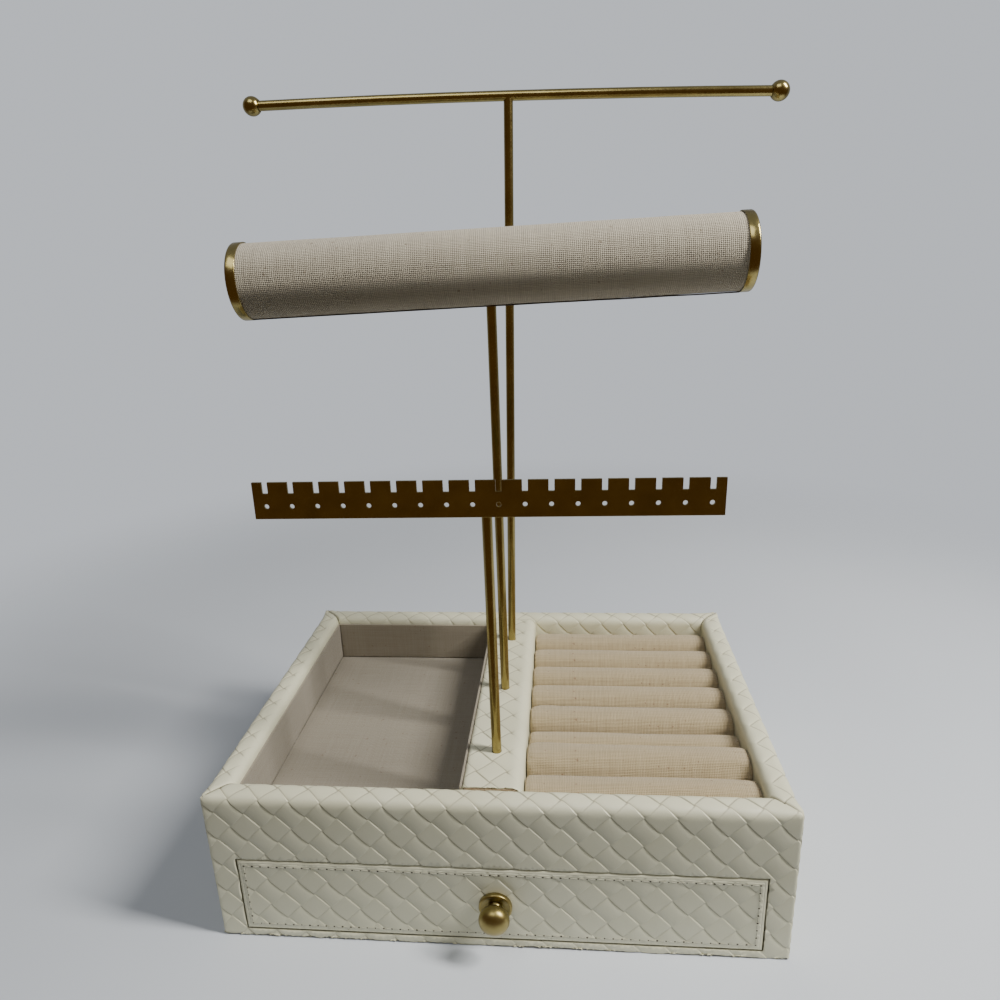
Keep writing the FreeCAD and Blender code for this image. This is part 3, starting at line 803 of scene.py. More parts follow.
def border_profile(depth):
    """From the woven face's edge, round the front's edge and back, as insets and depths."""
    profile = [(FRONT_BORDER, 0.0)]
    for step in range(7):
        angle = QUARTER_TURN * step / 6
        profile.append((FRONT_ROUND * (1 - math.sin(angle)), FRONT_ROUND * (1 - math.cos(angle))))
    return profile + [(0.0, 3.2 * MM), (0.0, 6.0 * MM), (0.0, depth)]


def border_mesh(bm, low, high, depth):
    """Smooth, slightly wavy border round the drawer's face."""
    rings = []
    groove = bm.verts.layers.float["groove"]
    profile = border_profile(depth)
    for point, inward in rectangle_path(low, high, BORDER_STEP):
        ring = []
        for inset, back in profile:
            x, z = point + inward * inset
            wave = 0.0
            if back > 0.3 * MM:
                wave = abs(BORDER_WAVE * noise.noise(Vector((x, back, z)) * 130.0))
            ring.append(bm.verts.new((x + inward[0] * wave, low.y + back, z + inward[1] * wave)))
            # painted shade on the border's sides, darker deeper in the gap
            ring[-1][groove] = GAP_PAINTED_SHADE * smoothstep(*GAP_FADE, back)
        rings.append(ring)
    for this, after in zip(rings, rings[1:] + rings[:1]):
        for step in range(len(profile) - 1):
            bm.faces.new((this[step], after[step], after[step + 1], this[step + 1]))


def build_drawer_front():
    low = DRAWER_LOW
    high = DRAWER_HIGH
    flat, relief, under = weave_grid((low.x, high.x), (low.z, high.z), FRONT_ORIGIN)[:3]
    x = flat[..., 0]
    z = flat[..., 1]
    inset = np.minimum(np.minimum(x - low.x, high.x - x), np.minimum(z - low.z, high.z - z))
    amount = BORDER_WEAVE + (1 - BORDER_WEAVE) * smoothstep(*BORDER_FADE, inset)
    relief = relief * amount * smoothstep(0, FRONT_BORDER * 1.2, inset)
    name = "woven_leather_drawer"
    # the painted shade under the strips' edges, less near the border
    mesh = sheet_mesh(name, np.stack((x, low.y - relief, z), -1), under * amount, inset > -0.5 * MM)
    bm = open_mesh(mesh)
    for axis in (X, Z):
        cut_off(bm, axis * (low.dot(axis) + FRONT_BORDER), -axis)
        cut_off(bm, axis * (high.dot(axis) - FRONT_BORDER), axis)
    border_mesh(bm, low, high, high.y - 0.1 * MM - low.y)
    hole = (Vector((0, low.y, DRAWER_MIDDLE)), Y)
    piece = finish_hide(
        name, bm, mesh, -Y, "drawer", "drawer_front_leather", drilled=([hole], SCREW_HOLE, 5 * MM))


def needle_places():
    inset = Vector((STITCH_INSET, 0, STITCH_INSET))
    path = rectangle_path(DRAWER_LOW + inset, DRAWER_HIGH - inset, STITCH_PITCH)
    return [point for point, inward in path]


def build_stitches():
    """Thread that shows between the needle holes."""
    holes = needle_places()
    # share of the way to the next hole, width as a share, and how deep the thread's middle is in mm
    profile = (
        (0.13, 0.45, 0.25), (0.22, 0.9, 0.02), (0.5, 1.0, -0.06), (0.78, 0.9, 0.02), (0.87, 0.45, 0.25))
    points = []
    faces = []
    sides = 6
    for here, after in zip(holes, holes[1:] + holes[:1]):
        faces += tube_faces(len(points), len(profile), sides)
        length = np.linalg.norm(after - here)
        way = (after - here) / length
        across = np.array((-way[1], way[0]))
        for share, width, sink in profile:
            middle = here + way * length * share
            for angle in turns(sides):
                x, z = middle + across * THREAD_RADIUS * width * math.cos(angle)
                y = DRAWER_LOW.y + sink * MM - THREAD_RADIUS * width * 0.55 * math.sin(angle)
                points.append((x, y, z))
    dress(smooth(new_piece("drawer_stitches", points, faces)), THREAD, "cream_leather", "drawer")


def build_needle_hole_shade():
    """Small dark dots of painted shade, just proud of the leather, where the thread goes in."""
    points = []
    faces = []
    sides = 10
    rings = ((1.0, 0.10), (1.0, -0.02), (0.5, -0.035))   # radius as a share, and depth in mm
    for x, z in needle_places():
        faces += tube_faces(len(points), len(rings), sides, inward=True)
        size = NEEDLE_RADIUS * (0.8 + 0.35 * noise.noise(Vector((x, 0, z)) * 900.0))
        for radius, depth in rings:
            for angle in turns(sides):
                across = size * radius * math.cos(angle)
                rise = size * radius * 0.85 * math.sin(angle)
                points.append((x + across, DRAWER_LOW.y + depth * MM, z + rise))
    dress(new_piece("drawer_needle_hole_shade", points, faces), NEEDLE_HOLE_SHADE, "cream_leather", "drawer")


# ---- linen on card ----

CARD_ROUND = 0.6 * MM
CARD_CELL = 5.0 * MM
CARD_WAVE = (0.22 * MM, 55.0)    # how far the linen sinks at most, and how closely its waves follow
FLOOR_LINER_GAP = Vector((0.7, 0.7, 0)) * MM  # floors stop short of the wrapped walls


def edge_positions(low, high, radius, cell):
    """Grid lines along one side of a block, close together where its edges are rounded."""
    near = [0.0, 0.35 * radius, 0.7 * radius, radius]
    inner_length = high - low - 2 * radius
    steps = max(1, round(inner_length / cell))
    inner = [radius + inner_length * step / steps for step in range(1, steps)]
    far = [high - low - distance for distance in reversed(near)]
    return [low + distance for distance in near + inner + far]


def block_grid(lines):
    """Points and faces of a block with grid lines on all its sides."""
    numbers = {}
    faces = []
    for axis in range(3):
        one = (axis + 1) % 3
        two = (axis + 2) % 3
        for end, level in ((0, lines[axis][0]), (1, lines[axis][-1])):
            for a0, a1 in zip(lines[one], lines[one][1:]):
                for b0, b1 in zip(lines[two], lines[two][1:]):
                    ring = []
                    for a, b in ((a0, b0), (a1, b0), (a1, b1), (a0, b1)):
                        place = {axis: level, one: a, two: b}
                        key = tuple(round(place[k], 8) for k in range(3))
                        ring.append(numbers.setdefault(key, len(numbers)))
                    faces.append(ring if end else ring[::-1])
    return list(numbers), faces


def soft_block(name, low, high, radius, cell, wave, frequency):
    """A board with rounded edges and a slightly uneven surface, with the UV map `cloth` in metres."""
    points, faces = block_grid([edge_positions(low[axis], high[axis], radius, cell) for axis in range(3)])
    inner_low = Vector(low) + Vector((radius,) * 3)
    inner_high = Vector(high) - Vector((radius,) * 3)
    rounded = []
    for place in map(Vector, points):
        core = Vector([min(max(place[k], inner_low[k]), inner_high[k]) for k in range(3)])
        sink = wave * (0.5 + 0.5 * noise.noise(place * frequency))
        rounded.append(core + (place - core).normalized() * (radius - sink))
    piece = new_piece(name, rounded, faces)
    project_cloth(piece.data)
    return smooth(piece)


def project_cloth(mesh):
    """UV map `cloth`, in metres, from whichever side each face looks to."""
    layer = mesh.uv_layers.new(name="cloth")
    for face in mesh.polygons:
        normal = [abs(value) for value in face.normal]
        one, two = ((1, 2), (0, 2), (0, 1))[normal.index(max(normal))]
        for loop in face.loop_indices:
            place = mesh.vertices[mesh.loops[loop].vertex_index].co
            layer.data[loop].uv = (place[one], place[two])


def build_liners():
    for node in sorted(frame["nodes"]):
        if "liner" not in node and node != "ring_tray_card":
            continue
        low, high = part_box(node)
        if "floor" in node:
            low += FLOOR_LINER_GAP
            high -= FLOOR_LINER_GAP
        piece = soft_block("linen_" + node, low, high, CARD_ROUND, CARD_CELL, *CARD_WAVE)
        if node == "drawer_liner_front":
            drill(piece, [(Vector((0, (low.y + high.y) / 2, DRAWER_MIDDLE)), Y)], SCREW_HOLE, 3 * MM)
        body = "drawer" if node.startswith("drawer") else "base_box"
        dress(piece, TRAY_LINEN, "tray_linen", body, node)


# ---- ring rolls: foam wrapped in linen ----

ROLL_START = 0.5 * MM            # rolls start this much smaller all round and swell
ROLL_SWELL = 1.1 * MM            # no point moves further than this
ROLL_VOXEL = 1.9 * MM
ROLL_END = 1.1 * MM              # how soon a roll's open end rounds off
ROLL_TUCKED_END = 0.5 * MM       # the same at the end that is pushed against the divider
ROLL_PINCH = 0.86                # size of the roll's very ends, as a share
ROLL_SLACK = 0.35 * MM
ROLL_SQUARE = (0.72, 0.80)       # under 1 the section is squarer than an ellipse, in width and height
ROLL_SIDES = 28
ROLL_STATIONS = 46
ROLL_SPARE = (Vector((0, 0.12, 0)) * MM, Vector((0, 0.12, 0.5)) * MM)  # room past its box, low and high
SWELL_STEPS = 20
CLOTH_SETTINGS = dict(
    use_pressure=True, uniform_pressure_force=3.0, tension_stiffness=12.0, bending_stiffness=0.4,
    shrink_min=-0.03)


def roll_blank(number, low, high):
    """The roll before it swells: flat-sided, a little taller than wide, with rounded ends."""
    half = (high.y - low.y) / 2 - ROLL_START
    tall = (high.z - low.z) / 2 - ROLL_START
    middle = (low + high) / 2
    length = high.x - low.x - 2 * ROLL_START
    points = []
    for station in range(ROLL_STATIONS + 1):
        share = station / ROLL_STATIONS
        x = low.x + ROLL_START + length * share
        reach = min((1 - share) * length / ROLL_END, share * length / ROLL_TUCKED_END, 1)
        pinch = ROLL_PINCH + (1 - ROLL_PINCH) * math.sqrt(max(0.0, 1 - (1 - reach) ** 2))
        slack = ROLL_SLACK * noise.noise(Vector((x * 28.0, number * 3.7, 0.0)))
        for angle in turns(ROLL_SIDES):
            across, rise = [math.copysign(abs(value) ** power, value)
                            for value, power in zip((math.cos(angle), math.sin(angle)), ROLL_SQUARE)]
            points.append((x, middle.y + across * half * pinch, middle.z + rise * (tall * pinch + slack)))
    return new_piece("ring_linen_%d" % number, points, tube_faces(0, ROLL_STATIONS + 1, ROLL_SIDES))


def simulate(pieces):
    """Blow up all the pieces together under light air pressure, as stuffed cloth."""
    starts = {}
    for piece in pieces:
        modify(piece, "REMESH", mode="VOXEL", voxel_size=ROLL_VOXEL)
        starts[piece] = [vert.co.copy() for vert in piece.data.vertices]
        cloth = piece.modifiers.new("cloth", "CLOTH")
        for name, value in CLOTH_SETTINGS.items():
            setattr(cloth.settings, name, value)
        cloth.settings.effector_weights.gravity = 0.0
        cloth.collision_settings.use_collision = False
        cloth.point_cache.frame_start = 1
        cloth.point_cache.frame_end = SWELL_STEPS
    for step in range(SWELL_STEPS):
        bpy.context.scene.frame_set(1 + step)
    for piece in pieces:
        apply_modifiers(piece)
        for vert, start in zip(piece.data.vertices, starts[piece]):
            move = vert.co - start
            if move.length > ROLL_SWELL:
                vert.co = start + move.normalized() * ROLL_SWELL
    bpy.context.scene.frame_set(1)


def keep_in(piece, low, high):
    """Press the roll against the card, the walls and its neighbours."""
    for vert in piece.data.vertices:
        for axis in range(3):
            vert.co[axis] = min(max(vert.co[axis], low[axis]), high[axis])


def wrap_cloth(piece, middle):
    """UV map `cloth` round a roll that lies along X, in metres."""
    mesh = piece.data
    layer = mesh.uv_layers.new(name="cloth")
    size = max((vert.co - middle).yz.length for vert in mesh.vertices)
    for face in mesh.polygons:
        centre = face.center - middle
        about = math.atan2(centre.y, centre.z)
        for loop in face.loop_indices:
            place = mesh.vertices[mesh.loops[loop].vertex_index].co - middle
            angle = math.atan2(place.y, place.z)
            angle += FULL_TURN * round((about - angle) / FULL_TURN)
            layer.data[loop].uv = (place.x, angle * size)


def build_ring_rolls():
    nodes = sorted(node for node in frame["nodes"] if node.startswith("ring_roll_"))
    rolls = [(roll_blank(number, *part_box(node)), node) for number, node in enumerate(nodes, 1)]
    simulate([piece for piece, node in rolls])
    for piece, node in rolls:
        low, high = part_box(node)
        keep_in(piece, low - ROLL_SPARE[0], high + ROLL_SPARE[1])
        modify(piece, "SUBSURF", levels=1, render_levels=1)
        wrap_cloth(piece, (low + high) / 2)
        dress(smooth(piece), RING_LINEN, "ring_linen", "base_box", node)


# ---- bracelet roll ----

BRACELET_HEIGHT = 209.3 * MM     # the roll's middle over the divider
BRACELET_TURN = 2.2              # degrees about its post
BRACELET_TILT = -1.36            # degrees, right end up
BRACELET_PLACE = (
    Matrix.Translation((POST_X, 0.0, DIVIDER_TOP)) @ rotation(BRACELET_TURN, "Z")
    @ Matrix.Translation(Z * BRACELET_HEIGHT) @ rotation(BRACELET_TILT, "Y")
)
BRACELET_HALF = 111.4 * MM
POST_ENTRY = 192 * MM            # the post goes into the roll near this height over the divider
POST_ENTRY_HOLE = 2.34 * MM
SLEEVE_RADIUS = 16.2 * MM
SLEEVE_THICKNESS = 1.2 * MM
SLEEVE_RIPPLE = 0.13 * MM
SLEEVE_ROOM = 0.12 * MM          # the linen lies this much deeper, to leave room for its ripples
SEAM_RIDGE = 0.10 * MM
SEAM_HALF = 3.4 * MM
SLEEVE_STATIONS = 150
SLEEVE_SIDES = 96
CAP_RADIUS = 16.72 * MM
CAP_SKIRT = 4.5 * MM
CAP_SHOULDER = 0.9 * MM
CAP_WALL = 0.42 * MM


def drill_for_post(piece):
    """The hole in the roll's underside that its post goes through."""
    entry = Vector((POST_X, 0, DIVIDER_TOP + POST_ENTRY))
    drill(piece, [(entry, Z)], POST_ENTRY_HOLE, 8 * MM)


def sleeve_radius(x, angle):
    """Uneven linen, and a low ridge along the bottom where it is joined."""
    ripple = noise.noise(Vector((x * 38.0, 2.2 * math.cos(angle), 2.2 * math.sin(angle))))
    seam = math.exp(-((abs(angle - math.pi) * SLEEVE_RADIUS / SEAM_HALF) ** 2))
    return SLEEVE_RADIUS + SLEEVE_RIPPLE * ripple - SLEEVE_ROOM + SEAM_RIDGE * seam


def build_bracelet_sleeve():
    """Linen over thin padding, closed to a tube wall, with its raw edges at the caps."""
    half = BRACELET_HALF - 0.7 * MM
    inner = SLEEVE_RADIUS - SLEEVE_THICKNESS
    sides = turns(SLEEVE_SIDES)
    rings = []
    for station in range(SLEEVE_STATIONS + 1):
        x = -half + 2 * half * station / SLEEVE_STATIONS
        rings.append((x, [sleeve_radius(x, angle) for angle in sides]))
    rings += [(x, [inner] * SLEEVE_SIDES) for x in (half, -half)]
    points = [(x, radius * math.sin(angle), radius * math.cos(angle))
              for x, radii in rings for radius, angle in zip(radii, sides)]
    faces = []
    for ring in range(len(rings)):
        start = ring * SLEEVE_SIDES
        next_start = (ring + 1) % len(rings) * SLEEVE_SIDES
        for side in range(SLEEVE_SIDES):
            after = (side + 1) % SLEEVE_SIDES
            faces.append((start + after, start + side, next_start + side, next_start + after))
    piece = smooth(new_piece("bracelet_linen", points, faces))
    wrap_cloth(piece, Vector())
    piece.data.transform(BRACELET_PLACE)
    drill_for_post(piece)
    dress(smooth(piece), ROLL_LINEN, "roll_linen", "bracelet_stand", "bracelet_sleeve")


def lathe(name, profile, segments=72):
    """Turn a profile of (x, radius) points about X; a radius of 0 closes the end."""
    points = []
    rings = []
    for x, radius in profile:
        sides = turns(segments) if radius > 0 else [0.0]
        rings.append(range(len(points), len(points) + len(sides)))
        points += [(x, radius * math.cos(angle), radius * math.sin(angle)) for angle in sides]
    faces = []
    for this, after in zip(rings, rings[1:]):
        for side in range(segments):
            corners = [ring[place % len(ring)] for ring, place in (
                (this, side), (after, side), (after, side + 1), (this, side + 1))]
            faces.append(list(dict.fromkeys(corners)))
    piece = new_piece(name, points, faces)
    bm = open_mesh(piece.data)
    bmesh.ops.recalc_face_normals(bm, faces=bm.faces[:])
    close_mesh(bm, piece.data)
    return smooth(piece)


def arc(centre, radius, start, end, steps):
    """Profile points on an arc; angles in degrees from +X towards +radius."""
    turn = [math.radians(start + (end - start) * step / steps) for step in range(steps + 1)]
    return [(centre[0] + radius * math.cos(a), centre[1] + radius * math.sin(a)) for a in turn]


def build_bracelet_caps():
    """Pressed brass cups: flat end, rounded shoulder, straight skirt with a thin lip."""
    end = BRACELET_HALF
    lip = end - CAP_SKIRT
    floor = end - CAP_WALL
    bore = CAP_RADIUS - CAP_WALL
    outside = [(end - 0.25 * MM, 0.0), (end - 0.18 * MM, 8 * MM), (end, CAP_RADIUS - 2.0 * MM)]
    outside += arc((end - CAP_SHOULDER, CAP_RADIUS - CAP_SHOULDER), CAP_SHOULDER, 90, 0, 6)[::-1]
    outside += [(lip + 0.15 * MM, CAP_RADIUS), (lip, CAP_RADIUS - 0.12 * MM)]
    inside = [(lip, bore), (floor, bore), (floor - 0.1 * MM, 0.0)]
    for name, side in (("left", -1), ("right", 1)):
        cap = lathe("brass_cap_" + name, [(side * x, radius) for x, radius in outside + inside], 96)
        cap.data.transform(BRACELET_PLACE)
        dress(cap, BRASS, "satin_brass", "bracelet_stand", "bracelet_cap_" + name)


# ---- drawer knob ----

KNOB_BALL = 6.6 * MM
KNOB_HALF_LENGTH = 5.0 * MM      # the ball is a little flat from front to back
KNOB_SIDE_ROUND = 4.2 * MM
KNOB_NECK = 3.0 * MM
KNOB_BORE = 1.96 * MM            # for the screw
ROSETTE = 7.2 * MM
ROSETTE_THICKNESS = 2.2 * MM
ROSETTE_RIM = 0.7 * MM
OUT_OF_DRAWER = Matrix.Translation((0, DRAWER_LOW.y, DRAWER_MIDDLE)) @ rotation(-90, "Z")


def build_rosette():
    """Dished disc behind the knob, about the screw's axis."""
    front = ROSETTE_THICKNESS
    dish = 0.95 * MM
    profile = [(0.0, KNOB_BORE), (0.0, ROSETTE - 0.2 * MM), (0.2 * MM, ROSETTE)]
    profile += [(front - ROSETTE_RIM, ROSETTE)]
    profile += arc((front - ROSETTE_RIM, ROSETTE - ROSETTE_RIM), ROSETTE_RIM, 90, 0, 6)[1:]
    profile += [(front - 0.35 * MM, ROSETTE - 1.25 * MM), (1.25 * MM, 4.9 * MM), (dish, 3.7 * MM)]
    profile += [(dish, 3.2 * MM), (dish, KNOB_BORE), (0.0, KNOB_BORE)]
    rosette = lathe("brass_rosette", profile)
    rosette.data.transform(OUT_OF_DRAWER)
    dress(rosette, TURNED_BRASS, "satin_brass", "drawer", "knob_rosette")


def build_knob():
    """A turned ball on a short neck: two flat domes that meet a tighter round at its side."""
    half = KNOB_HALF_LENGTH
    neck = 1.0 * MM
    ball = ROSETTE_THICKNESS + 0.5 * MM + half
    side = KNOB_BALL - KNOB_SIDE_ROUND
    dome = (side ** 2 + half ** 2 - KNOB_SIDE_ROUND ** 2) / (2 * (half - KNOB_SIDE_ROUND))
    join = math.degrees(math.atan2(side, dome - half))
    meet = math.degrees(math.asin((KNOB_NECK - 0.55 * MM) / dome))
    bore_end = ROSETTE_THICKNESS + 6.0 * MM
    profile = [(bore_end, 0.0), (bore_end, KNOB_BORE), (neck, KNOB_BORE), (neck, KNOB_NECK)]
    profile += [(neck + 0.5 * MM, KNOB_NECK), (neck + 1.0 * MM, KNOB_NECK - 0.5 * MM)]
    profile += arc((ball - half + dome, 0.0), dome, 180 - meet, 180 - join, 8)
    profile += arc((ball, side), KNOB_SIDE_ROUND, 180 - join, join, 24)[1:]
    profile += arc((ball + half - dome, 0.0), dome, join, 0, 12)[1:-1]
    profile += [(ball + half, 0.0)]
    knob = lathe("brass_knob", profile)
    knob.data.transform(OUT_OF_DRAWER)
    dress(knob, TURNED_BRASS, "satin_brass", "drawer", "knob")


# ---- earring plate ----

PLATE_HALF = 95.04 * MM
PLATE_HEIGHT = 15.7 * MM
PLATE_THICKNESS = 1.2 * MM
PLATE_BACK = -1.8 * MM           # the plate's back face, from its post's middle
PLATE_LOW = -PLATE_HEIGHT / 2
PLATE_MIDDLE = 121.1 * MM        # the plate's middle over the divider
PLATE_TURN = 1.7                 # degrees about its post
PLATE_TILT = 0.4                 # degrees, right end down
PUNCHED_EDGE = 0.16 * MM
SLOTS = 18
SLOT_WIDTH = 2.3 * MM
SLOT_DEPTH = 4.8 * MM
PIN_HOLE = 1.0 * MM
PIN_HEIGHT = 5.4 * MM
PIN_CLEAR = 3.0 * MM             # half of the square round a pin hole
PIN_STEPS = 3                    # hole's sides for each of the square's eight points


def pin_hole(bm, square, x):
    """The faces between a square's eight points and the round hole in its middle."""
    starts = [math.atan2(v.co.z - PLATE_LOW - PIN_HEIGHT, v.co.x - x) for v in square]
    circle = []
    for start, end in zip(starts, starts[1:] + starts[:1]):
        turn = (end - start) % FULL_TURN
        for step in range(PIN_STEPS):
            angle = start + turn * step / PIN_STEPS
            high = PLATE_LOW + PIN_HEIGHT + PIN_HOLE * math.sin(angle)
            circle.append(bm.verts.new((x + PIN_HOLE * math.cos(angle), PLATE_BACK, high)))
    circle.append(circle[0])
    for number, corner in enumerate(square):
        hole_side = circle[number * PIN_STEPS:(number + 1) * PIN_STEPS + 1]
        bm.faces.new([corner, square[(number + 1) % 8]] + hole_side[::-1])


def plate_cell(bm, x):
    """One pitch of the plate: a slot open to the top, and a pin hole below it."""
    half = PLATE_HALF / SLOTS
    slot = SLOT_WIDTH / 2
    columns = [-half, -PIN_CLEAR, -slot, slot, PIN_CLEAR, half]
    rows = [0.0, PIN_HEIGHT - PIN_CLEAR, PIN_HEIGHT + PIN_CLEAR, PLATE_HEIGHT - SLOT_DEPTH, PLATE_HEIGHT]
    grid = [[bm.verts.new((x + column, PLATE_BACK, PLATE_LOW + row)) for column in columns] for row in rows]
    open_cells = [(3, 2), (1, 1), (1, 2), (1, 3)]   # the slot, and the square round the pin hole
    for row, (low, high) in enumerate(zip(grid, grid[1:])):
        for column in range(len(columns) - 1):
            if (row, column) not in open_cells:
                bm.faces.new((low[column], low[column + 1], high[column + 1], high[column]))
    pin_hole(bm, grid[1][1:5] + grid[2][4:0:-1], x)


def build_earring_plate():
    """Punched plate: slots from the top, pin holes below them, edges slightly rounded by the punch."""
    bm = bmesh.new()
    for number in range(SLOTS):
        plate_cell(bm, (2 * number + 1) * PLATE_HALF / SLOTS - PLATE_HALF)
    bmesh.ops.remove_doubles(bm, verts=bm.verts[:], dist=0.005 * MM)
    name = "brass_earring_plate"
    plate = link(name, close_mesh(bm, bpy.data.meshes.new(name)))
    modify(plate, "SOLIDIFY", thickness=PLATE_THICKNESS, offset=1.0)
    modify(plate, "BEVEL", width=PUNCHED_EDGE, segments=2, limit_method="ANGLE",
           angle_limit=math.radians(50))
    plate.data.transform(
        Matrix.Translation((POST_X, -POST_PITCH, DIVIDER_TOP)) @ rotation(PLATE_TURN, "Z")
        @ Matrix.Translation(Z * PLATE_MIDDLE) @ rotation(PLATE_TILT, "Y"))
    dress(plate, BRASS, "satin_brass", "earring_stand", "earring_plate")


# ---- seam tape, felt and end balls ----

TAPE_HALF = 2.4 * MM
TAPE_LAYERS = (0.05 * MM, 0.40 * MM)  # its two faces, off the sleeve
TAPE_SHARES = (-1.0, -0.6, -0.2, 0.2, 0.6, 1.0)
TAPE_STATIONS = 180
TAPE_LOOSE = (0.12 * MM, 0.40 * MM)  # how far it hangs at most on the left, and how much more at the right
TAPE_RAGGED = 0.25 * MM
FELT_ROUND = 0.4 * MM
FELT_WAVE = (0.12 * MM, 90.0)
END_BALL = 4.45 * MM
BAR_RADIUS = 2.3 * MM


def build_seam_tape():
    """Narrow dark tape over the linen's joint, along the bottom; it hangs looser towards the right."""
    half = BRACELET_HALF - CAP_SKIRT - 0.1 * MM
    inner, outer = TAPE_LAYERS
    section = [(share, inner) for share in TAPE_SHARES] + [(share, outer) for share in reversed(TAPE_SHARES)]
    points = []
    for station in range(TAPE_STATIONS + 1):
        x = -half + 2 * half * station / TAPE_STATIONS
        loose = TAPE_LOOSE[0] + TAPE_LOOSE[1] * smoothstep(0.0, 90 * MM, x)
        drop = loose * (0.6 + 0.4 * noise.noise(Vector((x * 60.0, 0.0, 0.0))))
        edge = TAPE_RAGGED * noise.noise(Vector((x * 300.0, 5.0, 0.0)))
        for share, layer in section:
            y = share * TAPE_HALF + edge
            slack = drop * (0.5 + 0.5 * abs(share)) + layer
            points.append((x, y, -math.sqrt(SLEEVE_RADIUS ** 2 - y ** 2) - slack))
    tape = new_piece("seam_tape", points, tube_faces(0, TAPE_STATIONS + 1, len(section)))
    project_cloth(tape.data)
    tape.data.transform(BRACELET_PLACE)
    drill_for_post(smooth(tape))
    dress(tape, TAPE, "seam_tape", "bracelet_stand", "bracelet_seam_tape")


def build_felt():
    low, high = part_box("bottom_cover")
    felt = soft_block("felt_bottom", low, high, FELT_ROUND, CARD_CELL, *FELT_WAVE)
    dress(felt, FELT, "bottom_felt", "base_box", "bottom_cover")


def build_end_balls():
    """Turned balls with a small step where the bar goes in."""
    seat = math.degrees(math.asin((BAR_RADIUS + 0.35 * MM) / END_BALL))
    collar = END_BALL * math.cos(math.radians(seat))
    profile = [(-END_BALL, 0.0)] + arc((0.0, 0.0), END_BALL, 180, seat, 34)[1:]
    profile += [(collar - 0.25 * MM, BAR_RADIUS + 0.12 * MM), (collar - 1.2 * MM, BAR_RADIUS + 0.02 * MM)]
    profile += [(collar - 1.3 * MM, 0.0)]
    for side, turn in (("left", 0), ("right", 180)):
        node = "necklace_ball_" + side
        low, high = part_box(node)
        centre = (low + high) / 2
        centre.x = low.x + END_BALL if side == "left" else high.x - END_BALL
        ball = lathe("brass_end_ball_" + side, profile)
        ball.data.transform(Matrix.Translation(centre) @ rotation(turn, "Z"))
        dress(ball, BRASS, "satin_brass", "necklace_stand", node)


for panel in PANELS:
    panel.build()
build_divider()
build_seam_tape()
build_felt()
build_end_balls()
build_drawer_front()
build_stitches()
build_needle_hole_shade()
build_liners()
build_ring_rolls()
build_bracelet_sleeve()
build_bracelet_caps()
build_rosette()
build_knob()
build_earring_plate()


# ---- camera, floor and light ----

CAMERA_FOCUS = 734.82            # focal length in pixels of the 1000-pixel frame
CAMERA_PLACE = Vector((31.1145, -333.6777, 285.4866)) * MM
CAMERA_YAW = math.radians(-5.336)
CAMERA_PITCH = math.radians(17.848)
CAMERA_ROLL = math.radians(-2.0748)
SENSOR = 36.0
FLOOR_RADIUS = 6.0
FLOOR_CENTRE = 0.12
FLOOR_FADE = (0.27, 0.66)        # the floor melts into the backdrop between these radii
FLOOR_FRONT = (-0.125, -0.20)    # and between these lines in front


def set_camera():
    forward = Vector((math.sin(CAMERA_YAW) * math.cos(CAMERA_PITCH),
                      math.cos(CAMERA_YAW) * math.cos(CAMERA_PITCH), -math.sin(CAMERA_PITCH)))
    level = Vector((math.cos(CAMERA_YAW), -math.sin(CAMERA_YAW), 0))
    upright = level.cross(forward)
    right = math.cos(CAMERA_ROLL) * level + math.sin(CAMERA_ROLL) * upright
    up = -math.sin(CAMERA_ROLL) * level + math.cos(CAMERA_ROLL) * upright
    camera = link("camera", bpy.data.cameras.new("camera"))
    camera.data.sensor_width = SENSOR
    camera.data.lens = SENSOR * CAMERA_FOCUS / 1000.0
    camera.data.clip_start = 0.01
    camera.data.clip_end = 20.0
    turned = Matrix((right, up, -forward)).transposed().to_4x4()
    camera.matrix_world = Matrix.Translation(CAMERA_PLACE) @ turned
    bpy.context.scene.camera = camera


def floor_material():
    look = new_look("pale_floor")
    pale = look.ramp(look.noise(3.0), 0.3, 0.7, (0.60, 0.63, 0.67), (0.64, 0.67, 0.71))
    look.surface(Base_Color=pale, Roughness=0.6)
    centred = look.vector("SUBTRACT", look.object_place(), (0.0, FLOOR_CENTRE, 0.0))
    radius = look.add("VectorMath", operation="LENGTH", Vector=centred).outputs["Value"]
    fade = look.spread(radius, *FLOOR_FADE, interpolation_type="SMOOTHSTEP")
    depth = look.math("ADD", look.add("SeparateXYZ", Vector=centred).outputs[1], FLOOR_CENTRE)
    ahead = look.spread(depth, *FLOOR_FRONT)
    shader = look.tree.nodes["Principled BSDF"].outputs[0]
    look.show(look.math("MAXIMUM", fade, ahead), shader, look.add("BsdfTransparent").outputs[0])
    return look.owner


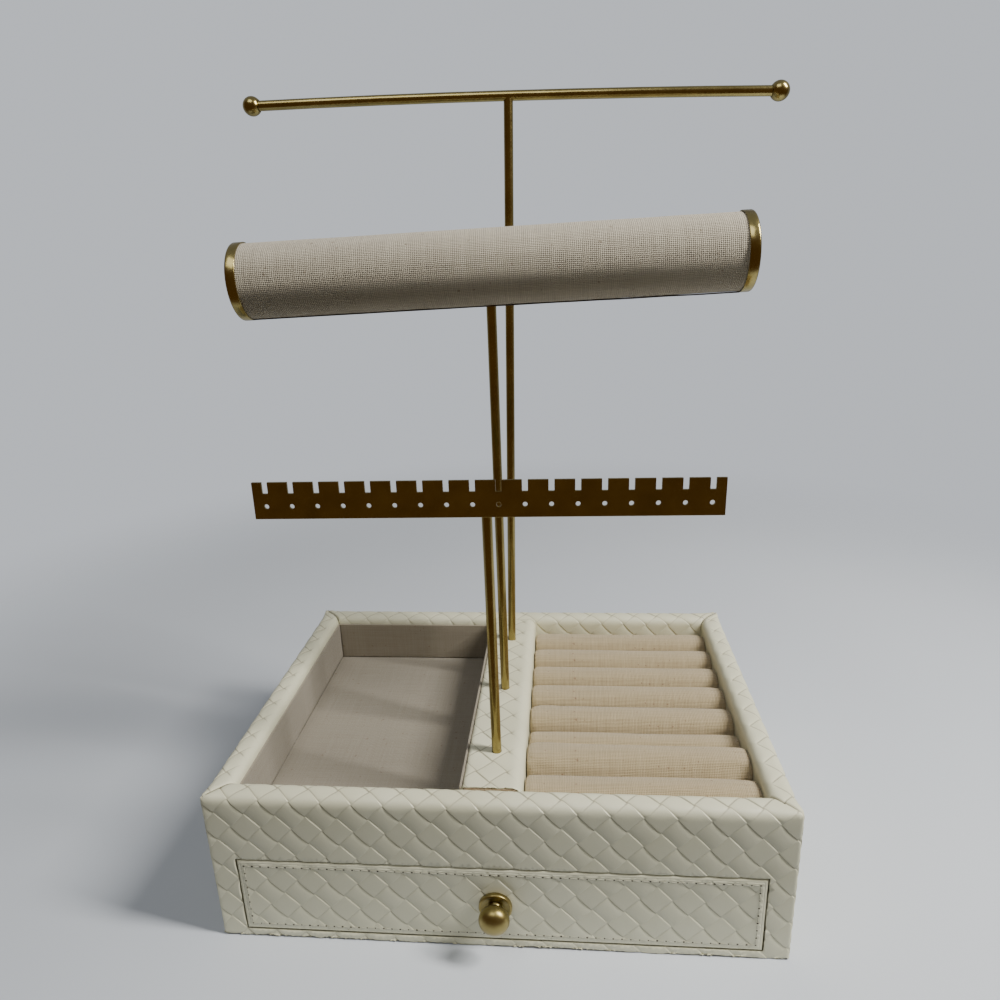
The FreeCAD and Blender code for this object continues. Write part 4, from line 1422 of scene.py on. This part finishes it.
def set_floor():
    points = [(FLOOR_RADIUS * math.cos(angle), FLOOR_RADIUS * math.sin(angle), 0) for angle in turns(64)]
    floor = new_piece("floor", points, [range(len(points))])
    floor.data.materials.append(floor_material())


def add_light(name, place, target, size, power, colour):
    light = bpy.data.lights.new(name, "AREA")
    light.shape = "RECTANGLE"
    light.size, light.size_y = size
    light.energy = power
    light.color = colour
    lamp = link(name, light)
    lamp.location = place
    lamp.rotation_euler = (Vector(target) - Vector(place)).to_track_quat("-Z", "Y").to_euler()


def set_world():
    """Pale backdrop for the camera; the light itself is bright overhead and behind, dim in front.

    The brass mirrors a brown room in front of the stand and a brighter one behind it.
    """
    world = bpy.data.worlds.new("studio")
    look = Look(world)
    backdrop = look.tree.nodes["Background"]
    look.feed(backdrop.inputs[0], (0.62, 0.65, 0.695))
    way = look.add("SeparateXYZ", Vector=look.add("TexCoord").outputs["Generated"])
    dim = look.product(look.spread(way.outputs[1], 0.30, -0.10), look.spread(way.outputs[2], 0.90, 0.50))
    rays = look.add("LightPath")
    shiny = rays.outputs["Is Glossy Ray"]
    ahead = look.mix(shiny, (0.115, 0.105, 0.095), (0.440, 0.245, 0.080))
    around = look.mix(shiny, (0.54, 0.57, 0.61), (1.10, 1.12, 1.15))
    room = look.add("Background", Color=look.mix(dim, around, ahead), Strength=0.30)
    look.show(rays.outputs["Is Camera Ray"], room.outputs[0], backdrop.outputs[0])
    bpy.context.scene.world = world


set_camera()
set_floor()
add_light("window", (0.75, -0.20, 0.92), (0, 0, 0.06), (0.17, 0.50), 18.5, (1.0, 0.985, 0.955))
add_light("front", (-0.18, -0.50, 1.05), (0, 0, 0.1), (0.60, 0.45), 2.7, (0.97, 0.98, 1.0))
set_world()

SLOT_LOOKS = {
    "satin_brass": BRASS, "zinc_steel": STEEL, "fibreboard": BOARD, "bottom_felt": FELT, "seam_tape": TAPE,
    "tray_linen": TRAY_LINEN, "ring_linen": RING_LINEN, "roll_linen": ROLL_LINEN,
    "cream_leather": LEATHER_LOOK,
}
for part in frame["record"]["subparts"]:
    node = frame["nodes"][part["node"]]
    node.data.materials.clear()
    node.data.materials.append(SLOT_LOOKS[part["material_slot"]])
